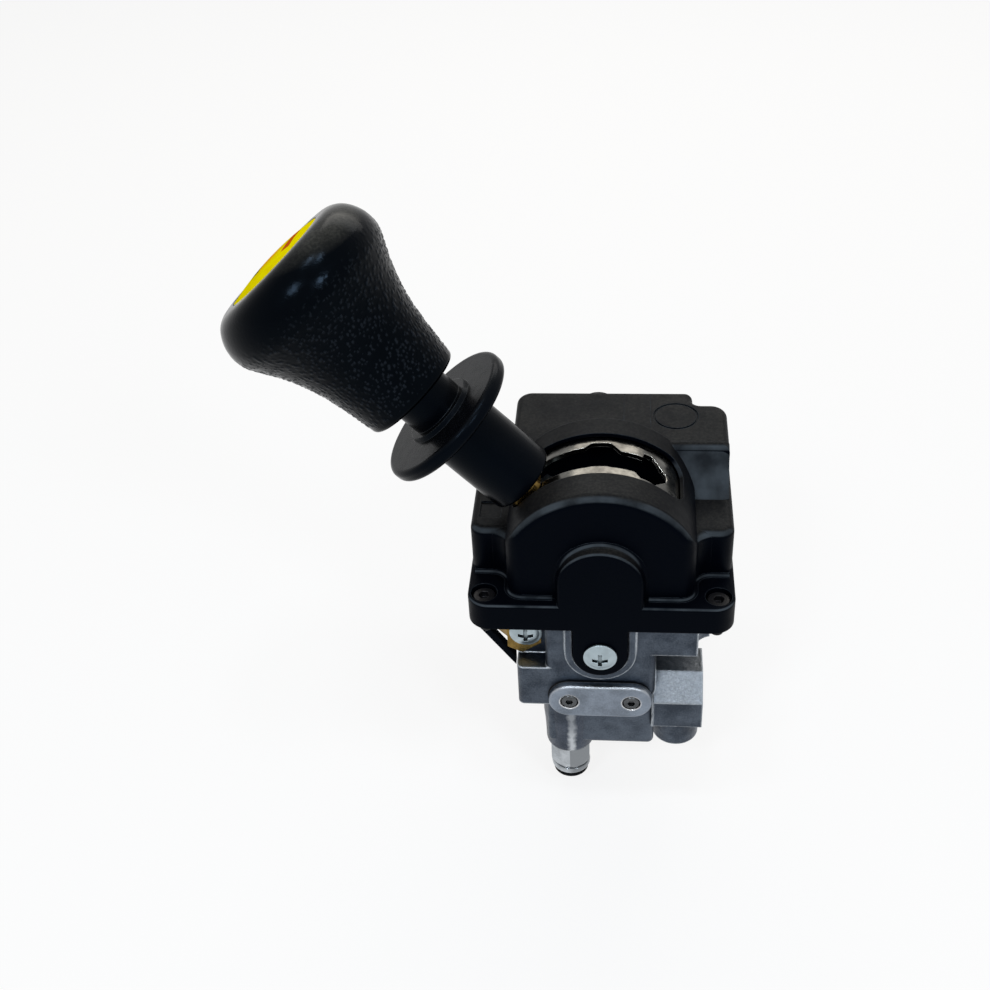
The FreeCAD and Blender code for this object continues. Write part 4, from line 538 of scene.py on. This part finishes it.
def new_object(name, verts, faces, material, body, matrix=None, sharp=40):
    """A closed piece that rides on a body, with edges sharper than an angle in degrees left sharp."""
    mesh = bpy.data.meshes.new(name)
    mesh.from_pydata([tuple(v) for v in verts], [], faces)
    shell = bmesh.new()
    shell.from_mesh(mesh)
    bmesh.ops.recalc_face_normals(shell, faces=shell.faces)
    shell.to_mesh(mesh)
    shell.free()
    mesh.shade_smooth()
    mesh.set_sharp_from_angle(angle=math.radians(sharp))
    mesh.materials.append(material)
    thing = bpy.data.objects.new(name, mesh)
    if matrix is not None:
        thing.matrix_world = matrix
    bpy.context.scene.collection.objects.link(thing)
    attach(thing, body)
    return thing


def lathe_faces(rings, columns, first_tip, last_tip):
    """Faces of rings of points, closed at each end by a tip point where there is one."""
    faces = []
    for ring in range(rings - 1):
        low, high = ring * columns, (ring + 1) * columns
        for i in range(columns):
            j = (i + 1) % columns
            faces.append((low + i, low + j, high + j, high + i))
    for tip, start, way in ((first_tip, 0, -1), (last_tip, (rings - 1) * columns, 1)):
        if tip is not None:
            pairs = [(start + i, start + (i + 1) % columns) for i in range(columns)]
            faces += [(a, b, tip) if way > 0 else (b, a, tip) for a, b in pairs]
    return faces


def bar(sections):
    """Verts and faces of a bar through like cross-sections in millimetres, closed at both ends."""
    count = len(sections[0])
    verts = [(x * MM, y * MM, z * MM) for section in sections for x, y, z in section]
    faces = []
    for k in range(len(sections) - 1):
        for i in range(count):
            j = (i + 1) % count
            faces.append((k * count + i, k * count + j, (k + 1) * count + j, (k + 1) * count + i))
    faces.append(tuple(reversed(range(count))))
    faces.append(tuple(range(len(verts) - count, len(verts))))
    return verts, faces


def new_cover_bar(name, sections, materials):
    """A bar that is part of the cover's moulding."""
    verts, faces = bar(sections)
    new_object(name, verts, faces, materials["cover_plastic"], "housing")


def hollow_quarter(radius, steps):
    """Points of a cove from (0, -radius) to (radius, 0), hollow towards the open corner."""
    angles = [math.radians(90 * step / steps) for step in range(steps + 1)]
    return [(radius - radius * math.cos(a), -radius + radius * math.sin(a)) for a in angles]


def cove_section(radius, sunk, steps):
    """A cove's cross-section, whose back is sunk into the walls on both sides."""
    return [(-sunk, sunk), (-sunk, -radius)] + hollow_quarter(radius, steps) + [(radius, sunk)]


def turn_path(middle, radius, first, last, outward, steps=8):
    """Points of an arc from one angle to another, each with its direction to the open side."""
    points = []
    for step in range(steps + 1):
        angle = math.radians(first + (last - first) * step / steps)
        x, y = math.cos(angle), math.sin(angle)
        points.append((middle[0] + radius * x, middle[1] + radius * y, outward * x, outward * y))
    return points


# Factors of the number scrambler that places the pebbles.
SCRAMBLE_AXES = (73856093, 19349663, 83492791)
SCRAMBLE_SALT = 2654435761
SCRAMBLE_STIR = 1274126177


def cell_jitter(cells, salt):
    """A fixed pseudo-random number from 0 to 1 for each cell."""
    x, y, z = (cells[..., k].astype(np.int64) * SCRAMBLE_AXES[k] for k in range(3))
    mixed = x ^ y ^ z ^ (salt * SCRAMBLE_SALT)
    mixed = (mixed ^ (mixed >> 13)) * SCRAMBLE_STIR & 0xFFFFFFFF
    return ((mixed ^ (mixed >> 16)) & 0xFFFF) / 0xFFFF


def pebbles(points_mm, spacing, size_low, size_high):
    """Height from 0 to 1 of scattered round pebbles at each point."""
    scaled = points_mm / spacing
    base = np.floor(scaled).astype(np.int64)
    height = np.zeros(len(points_mm))
    for offset in itertools.product((-1, 0, 1), repeat=3):
        cells = base + np.array(offset)
        spot = cells + np.stack([cell_jitter(cells, salt) for salt in (1, 2, 3)], axis=-1)
        reach = size_low + (size_high - size_low) * cell_jitter(cells, 4)
        share = 1 - (np.linalg.norm((scaled - spot) * spacing, axis=1) / reach) ** 2
        height = np.maximum(height, np.clip(share, 0, 1) ** 0.8)
    return height


def fade(values, low, high):
    """A smooth step from 0 at low to 1 at high."""
    share = np.clip((values - low) / (high - low), 0, 1)
    return share * share * (3 - 2 * share)


# The knob's outline in radius and height above the pivot, with arcs' radii, and its bore.
KNOB_OUTSIDE = (
    (13.7, 74.6), (14.3, 74.6, 1.5), (15.8, 76.1, -150), (17.4, 88.0, -60), (23.9, 108.0), (26.5, 113.0, 11),
    (27.5, 117.5, 12.1), (24.9, 125.0, 8.1), (18.5, 128.1), (16.7, 128.1), (16.6, 127.9), (16.6, 127.5),
)
KNOB_INSIDE = (
    (7.0, 118.9), (7.0, 98.9), (9.3, 98.9), (9.3, 89.5), (11.4, 89.5), (11.4, 77.2), (13.7, 77.2),
)
# Points around, the step along the outline, and how far the surface stays inside the solid's.
KNOB_COLUMNS = 380
KNOB_STEP = 0.42
KNOB_INSET = 0.03
# The pebbles, and the levels over which they fade in above the foot and out towards the crown.
PEBBLE_SPACING = 1.1
PEBBLE_REACH = (0.36, 0.58)
PEBBLE_DEEP = 0.22
PEBBLES_START = (75.8, 78.0)
PEBBLES_END = (112.0, 121.5)


def make_knob(materials):
    """The grained knob: a turned form with raised pebbles that fade out towards the polished crown."""
    outside = [(r - KNOB_INSET, z - KNOB_INSET) for r, z in profile(KNOB_OUTSIDE, KNOB_STEP)]
    rings = np.array(list(KNOB_INSIDE) + outside)
    slope = np.gradient(rings, axis=0)
    normal = np.stack([slope[:, 1], -slope[:, 0]], axis=-1)
    normal /= np.maximum(np.linalg.norm(normal, axis=1, keepdims=True), 1e-9)
    turn = 2 * math.pi * np.arange(KNOB_COLUMNS) / KNOB_COLUMNS
    ray = np.stack([np.cos(turn), np.sin(turn)], axis=-1)

    def spun(flat):
        """Turns pairs of radius and height into rings of points."""
        side = flat[:, None, 0, None] * ray[None]
        high = np.broadcast_to(flat[:, None, 1, None], side.shape[:2] + (1,))
        return np.concatenate([side, high], axis=-1)

    points = spun(rings)
    ways = spun(normal)
    level = rings[:, 1]
    share = fade(level, *PEBBLES_START) * (1 - fade(level, *PEBBLES_END))
    share[:len(KNOB_INSIDE) + 1] = 0
    grained = share > 0
    rise = pebbles(points[grained].reshape(-1, 3), PEBBLE_SPACING, *PEBBLE_REACH)
    rise = rise.reshape(grained.sum(), KNOB_COLUMNS)
    points[grained] += ways[grained] * (rise * PEBBLE_DEEP * share[grained][:, None])[..., None]
    raised = np.zeros(points.shape[:2])
    raised[grained] = rise * share[grained][:, None]
    tips = [(0, 0, KNOB_INSIDE[0][1]), (0, 0, KNOB_OUTSIDE[-1][1])]
    verts = np.concatenate([points.reshape(-1, 3), tips]) * MM
    place = np.array(bent_top())
    verts = verts @ place[:3, :3].T + place[:3, 3]
    faces = lathe_faces(len(rings), KNOB_COLUMNS, len(verts) - 2, len(verts) - 1)
    knob = new_object("knob_grip", verts, faces, materials["knob_plastic"], "lever")
    layer = knob.data.attributes.new("raised", "FLOAT", "POINT")
    layer.data.foreach_set("value", np.concatenate([raised.ravel(), (0, 0)]).astype(np.float32))
    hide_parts("knob")


# The label: its level above the pivot, the rise of its middle, its rim in radius and height, and the radii of
# the rings within.
LABEL_LEVEL = 128.1
LABEL_CROWN = 1.5
LABEL_COLUMNS = 96
LABEL_RIM = ((16.25, -0.55), (16.3, -0.5), (16.3, -0.22), (16.2, -0.1))
LABEL_RINGS = (15.0, 13.5, 12.0, 10.0, 8.0, 6.0, 4.0, 2.0)


def make_label(materials):
    """The printed label on the crown, slightly domed, with a rounded rim."""
    edge, low = LABEL_RIM[-1]
    rings = list(LABEL_RIM) + [(r, low + LABEL_CROWN * (1 - (r / edge) ** 2)) for r in LABEL_RINGS]
    turn = [2 * math.pi * i / LABEL_COLUMNS for i in range(LABEL_COLUMNS)]
    verts = [(r * math.cos(a) * MM, r * math.sin(a) * MM, z * MM) for r, z in rings for a in turn]
    verts += [(0, 0, LABEL_RIM[0][1] * MM), (0, 0, (LABEL_CROWN + low) * MM)]
    faces = lathe_faces(len(rings), LABEL_COLUMNS, len(verts) - 2, len(verts) - 1)
    place = bent_top() @ Matrix.Translation((0, 0, LABEL_LEVEL * MM))
    label = new_object("knob_print", verts, faces, materials["label_yellow"], "lever", place)
    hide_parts("knob_label")


# Radius of the rounded corners in the screw pockets, and how much their surface stands off the sharp ones.
POCKET_COVE = 4.8
POCKET_CLEAR = 0.02
# How far the coves reach out from the walls, and back into them.
FOOT_COVE = 1.1
BOSS_COVE = 1.3
COVE_SUNK = 0.3
EAR_SUNK = 0.4


def make_ear_coves(materials):
    """The rounded inner corners between the dome's sides and the shoulders, in the front screw pockets."""
    upright = SHOULDER_TOP - SHOULDER_ROUND
    levels = [FLANGE_TOP - 0.2, 12.0, 16.0, 20.0, 23.0, upright]
    levels += [upright + SHOULDER_ROUND * math.sin(math.radians(a)) for a in range(10, 91, 10)]
    for side, name in ((-1, "ear_cove_left"), (1, "ear_cove_right")):
        sections = []
        for z in levels:
            over = max(z - upright, 0)
            back = SHOULDER_ROUND - math.sqrt(max(SHOULDER_ROUND ** 2 - over ** 2, 0))
            front = SHOULDER_FRONT + back
            radius = POCKET_COVE * math.sqrt(max(1 - (over / SHOULDER_ROUND) ** 2, 0)) + POCKET_CLEAR
            section = cove_section(radius, EAR_SUNK, 8)
            sections.append([(side * (DOME_HALF + x), front + y, z) for x, y in section])
        new_cover_bar(name, sections, materials)


def make_foot_coves(materials):
    """The moulded cove along the foot of the walls, from each screw pocket to the pivot boss."""
    corner = POCKET_COVE + POCKET_CLEAR
    inner = DOME_HALF + corner, SHOULDER_FRONT - corner
    outer = DOME_HALF - DOME_CORNER, DOME_FRONT + DOME_CORNER
    # Along the shoulder, round the pocket's inner corner, along the dome's side, and round to its front.
    path = [(x, SHOULDER_FRONT, 0, -1) for x in (38.6, 35.0, inner[0])]
    path += turn_path(inner, corner, 95, 180, -1)[:-1]
    path += [(DOME_HALF, y, 1, 0) for y in (-26.4, -28.4)]
    path += turn_path(outer, DOME_CORNER, 0, -90, 1)[1:-1]
    path += [(x, DOME_FRONT, 0, -1) for x in (23.4, 18.0, 14.3)]
    section = [(-COVE_SUNK, -COVE_SUNK), (FOOT_COVE, -COVE_SUNK), (FOOT_COVE, 0.02)]
    section += [(x, -y) for x, y in reversed(hollow_quarter(FOOT_COVE, 6)[1:-1])]
    section += [(0.0, FOOT_COVE), (-COVE_SUNK, FOOT_COVE)]
    for side, name in ((-1, "foot_cove_left"), (1, "foot_cove_right")):
        sections = [[(side * (x + nx * out), y + ny * out, FLANGE_TOP + up) for out, up in section]
                    for x, y, nx, ny in path]
        new_cover_bar(name, sections, materials)


def make_boss_cove(materials):
    """The cove where the pivot boss meets the dome's front."""
    levels = (FLANGE_TOP - 0.1, 13.0, BOSS_MIDDLE)
    path = [(-BOSS_RADIUS, z, -1, 0) for z in levels]
    path += turn_path((0, BOSS_MIDDLE), BOSS_RADIUS, 175, 5, 1, steps=34)
    path += [(BOSS_RADIUS, z, 1, 0) for z in reversed(levels)]
    section = cove_section(BOSS_COVE, COVE_SUNK, 6)
    sections = [[(x + nx * out, DOME_FRONT + y, z + nz * out) for out, y in section]
                for x, z, nx, nz in path]
    new_cover_bar("boss_cove", sections, materials)


# The ramp's foot, head and height, how hollow it is, its crest from the head on to the tower's top, and its
# sections from left to right with the drop of their rounded side.
RAMP_FOOT = -5.5
RAMP_HEAD = 4.0
RAMP_HIGH = 38.2
RAMP_HOLLOW = 1.3
RAMP_STEPS = 10
RAMP_CREST = ((0.5, 0.48), (1.05, 0.83), (1.7, 1.04), (2.4, 1.12))
RAMP_SECTIONS = (
    (21.0, 0.0), (26.0, 0.0), (30.0, 0.0), (34.0, 0.0), (36.5, 0.02), (37.3, 0.2), (37.9, 0.45), (38.42, 0.9),
)


def make_tower_ramp(materials):
    """The slanted, slightly hollow front of the tower where it runs down to the right shoulder."""
    under = SHOULDER_TOP - 0.2
    low = SHOULDER_TOP + 0.01
    sections = []
    for x, drop in RAMP_SECTIONS:
        foot = RAMP_FOOT + 0.4 * drop
        rise = RAMP_HIGH - drop - SHOULDER_TOP
        section = [(RAMP_HEAD + RAMP_CREST[-1][0], under), (foot, under)]
        for step in range(RAMP_STEPS + 1):
            share = step / RAMP_STEPS
            section.append((foot + (RAMP_HEAD - RAMP_FOOT) * share, low + rise * share ** RAMP_HOLLOW))
        section += [(RAMP_HEAD + out, RAMP_HIGH + up - drop) for out, up in RAMP_CREST]
        sections.append([(x, y, z) for y, z in section])
    new_cover_bar("tower_ramp", sections, materials)


# The outlet boss's front: its axis and radius, and its levels with the growth of the radius.
COLUMN_AHEAD = -27.4
COLUMN_RADIUS = 7.8
COLUMN_LEVELS = (
    (-55.98, -0.5), (-55.6, -0.1), (-55.0, 0.0), (-50.0, 0.1), (-46.0, 0.3), (-42.5, 0.6), (-36.5, 0.7),
)
COLUMN_MOST_AHEAD = 0.2
PARTING_HIGHLIGHT_AT = -9.2


def make_boss_column():
    """The rounded front of the outlet boss, which stands a little ahead of the valve body's face."""
    ways = [(math.cos(math.radians(a)), math.sin(math.radians(a))) for a in range(180, 361, 9)]
    sections = []
    for z, grow in COLUMN_LEVELS:
        wide = COLUMN_RADIUS + grow
        deep = COLUMN_RADIUS + min(grow, COLUMN_MOST_AHEAD)
        sections.append([(OUTLET_ACROSS + wide * x, COLUMN_AHEAD + deep * y, z) for x, y in ways])
    verts, faces = bar(sections)
    # The boss's front carries the parting line's painted highlight.
    parting_highlight_cast = cast_metal("boss_front_cast", (0.085, 0.10, 0.13), CAST_OXIDE_AND_SHADE, CAST_PAINTED_LIGHT, rough=0.34,
                        grain_deep_mm=0.08, parting_highlight_at=PARTING_HIGHLIGHT_AT)
    new_object("outlet_boss_front", verts, faces, parting_highlight_cast, "housing")


# The outlet fitting's axis, the half width of its hexagon, and its rings from the seat down over the nose and
# back up the bore: height, radius, and whether the ring is cut to the hexagon.
FITTING_AHEAD = -26.2
FITTING_COLUMNS = 96
HEXAGON_HALF = 6.25
FITTING_RINGS = (
    (-56.3, 4.6, False), (-56.3, 7.1, True), (-56.6, 7.3, True), (-64.6, 7.3, True), (-65.6, 6.95, True),
    (-66.6, 6.4, True), (-66.9, 6.1, False), (-67.0, 5.6, False), (-67.7, 5.5, False), (-67.8, 6.0, False),
    (-68.1, 6.25, False), (-68.7, 6.4, False), (-69.3, 6.35, False), (-69.8, 6.1, False),
    (-70.15, 5.7, False), (-70.3, 5.3, False), (-70.1, 5.02, False), (-62.3, 5.02, False),
    (-62.3, 3.2, False), (-57.3, 3.2, False), (-57.3, 2.0, False), (-48.3, 2.0, False), (-48.3, 3.9, False),
    (-48.9, 4.4, False), (-56.3, 4.4, False),
)


def make_outlet_fitting(materials):
    """The push-in fitting: a chamfered hexagon with a corner ahead, a groove and a rounded nose."""
    verts = []
    for z, radius, cornered in FITTING_RINGS:
        for column in range(FITTING_COLUMNS):
            turn = 360 * column / FITTING_COLUMNS
            off = math.radians((turn + 30) % 60 - 30)
            reach = min(radius, HEXAGON_HALF / math.cos(off)) if cornered else radius
            angle = math.radians(turn + 60)
            x = OUTLET_ACROSS + reach * math.cos(angle)
            y = FITTING_AHEAD + reach * math.sin(angle)
            verts.append((x * MM, y * MM, z * MM))
    faces = lathe_faces(len(FITTING_RINGS), FITTING_COLUMNS, None, None)
    last = (len(FITTING_RINGS) - 1) * FITTING_COLUMNS
    for i in range(FITTING_COLUMNS):
        j = (i + 1) % FITTING_COLUMNS
        faces.append((last + i, last + j, j, i))
    fitting = new_object("outlet_push_fitting", verts, faces, materials["fitting_nickel"], "housing",
                         sharp=25)
    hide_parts("outlet_fitting")


def make_pieces(materials):
    """All the pieces that are made here."""
    make_knob(materials)
    make_label(materials)
    make_ear_coves(materials)
    make_foot_coves(materials)
    make_boss_cove(materials)
    make_tower_ramp(materials)
    make_boss_column()
    make_outlet_fitting(materials)


# Stage and light

# The floor's distance below the object and its half width, in metres.
FLOOR_GAP = 0.0005
FLOOR_HALF = 3.0
FLOOR_COLOUR = (0.8, 0.8, 0.8, 1)
# How much of the floor's seen brightness is its own glow, and how bright that is.
FLOOR_GLOW_SHARE = 0.80
FLOOR_GLOW = 1.05
# The world's strength as light, and as it is seen.
WORLD_LEVEL = 0.25
WORLD_SEEN = 1.0


def seen_directly(tree):
    """1 for what the camera, a gloss or a clear material sees directly."""
    path = tree.nodes.new("ShaderNodeLightPath")
    last = path.outputs["Is Camera Ray"]
    for name in ("Is Glossy Ray", "Is Transmission Ray"):
        added = tree.nodes.new("ShaderNodeMath")
        added.operation = "MAXIMUM"
        tree.links.new(last, added.inputs[0])
        tree.links.new(path.outputs[name], added.inputs[1])
        last = added.outputs[0]
    return last


def make_floor():
    """A plain pale floor just under the object, which keeps its shadow."""
    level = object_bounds()[0].z - FLOOR_GAP
    mesh = bpy.data.meshes.new("floor")
    corners = [(-1, -1), (1, -1), (1, 1), (-1, 1)]
    mesh.from_pydata([(x * FLOOR_HALF, y * FLOOR_HALF, level) for x, y in corners], [], [(0, 1, 2, 3)])
    floor = bpy.data.objects.new("floor", mesh)
    bpy.context.scene.collection.objects.link(floor)
    material = bpy.data.materials.new("floor")
    material.use_nodes = True
    tree = material.node_tree
    shader = tree.nodes["Principled BSDF"]
    shader.inputs["Base Color"].default_value = FLOOR_COLOUR
    shader.inputs["Roughness"].default_value = 0.9
    shader.inputs["Specular IOR Level"].default_value = 0.0
    glow = tree.nodes.new("ShaderNodeEmission")
    glow.inputs["Strength"].default_value = FLOOR_GLOW
    share = tree.nodes.new("ShaderNodeMath")
    share.operation = "MULTIPLY"
    share.inputs[1].default_value = FLOOR_GLOW_SHARE
    blend = tree.nodes.new("ShaderNodeMixShader")
    tree.links.new(seen_directly(tree), share.inputs[0])
    tree.links.new(share.outputs[0], blend.inputs[0])
    tree.links.new(shader.outputs[0], blend.inputs[1])
    tree.links.new(glow.outputs[0], blend.inputs[2])
    tree.links.new(blend.outputs[0], tree.nodes["Material Output"].inputs["Surface"])
    mesh.materials.append(material)


def make_world():
    """A dim even light all round, which is seen brighter than it lights."""
    world = bpy.data.worlds.new("world")
    bpy.context.scene.world = world
    world.use_nodes = True
    tree = world.node_tree
    light = tree.nodes["Background"]
    light.inputs["Color"].default_value = (1, 1, 1, 1)
    light.inputs["Strength"].default_value = WORLD_LEVEL
    seen = tree.nodes.new("ShaderNodeBackground")
    seen.inputs["Strength"].default_value = WORLD_SEEN
    blend = tree.nodes.new("ShaderNodeMixShader")
    tree.links.new(seen_directly(tree), blend.inputs[0])
    tree.links.new(light.outputs[0], blend.inputs[1])
    tree.links.new(seen.outputs[0], blend.inputs[2])
    tree.links.new(blend.outputs[0], tree.nodes["World Output"].inputs["Surface"])


# The lamps: name, place, width and height in metres, how bright the face is, and colour. They all face the
# same point near the object's middle.
LAMPS = (
    ("back_lamp", (0.05, 0.75, 0.62), 0.9, 0.4, 3.0, (1.0, 0.93, 0.84)),
    ("top_lamp_left", (-0.17, -0.14, 0.92), 0.09, 0.14, 24.0, (0.86, 0.93, 1.0)),
    ("top_lamp_right", (0.06, -0.14, 0.92), 0.09, 0.14, 24.0, (0.86, 0.93, 1.0)),
    ("front_lamp_left", (-0.25, -0.62, 0.66), 0.17, 0.17, 22.0, (0.84, 0.92, 1.0)),
    ("front_lamp_right", (0.42, -0.62, 0.66), 0.17, 0.17, 22.0, (0.84, 0.92, 1.0)),
)
LAMP_TARGET = (0, 0, 0.02)


def make_lights():
    """The soft rectangular lamps, whose energy follows from the size and brightness of their faces."""
    for name, place, width, height, radiance, colour in LAMPS:
        data = bpy.data.lights.new(name, "AREA")
        data.shape = "RECTANGLE"
        data.size = width
        data.size_y = height
        data.energy = radiance * math.pi * width * height
        data.color = colour
        lamp = bpy.data.objects.new(name, data)
        lamp.location = place
        lamp.rotation_euler = (Vector(LAMP_TARGET) - Vector(place)).to_track_quat("-Z", "Y").to_euler()
        bpy.context.scene.collection.objects.link(lamp)


bpy.context.scene.view_settings.view_transform = "Standard"
make_camera()
materials = make_materials()
dress_nodes(materials)
make_pieces(materials)
make_floor()
make_world()
make_lights()
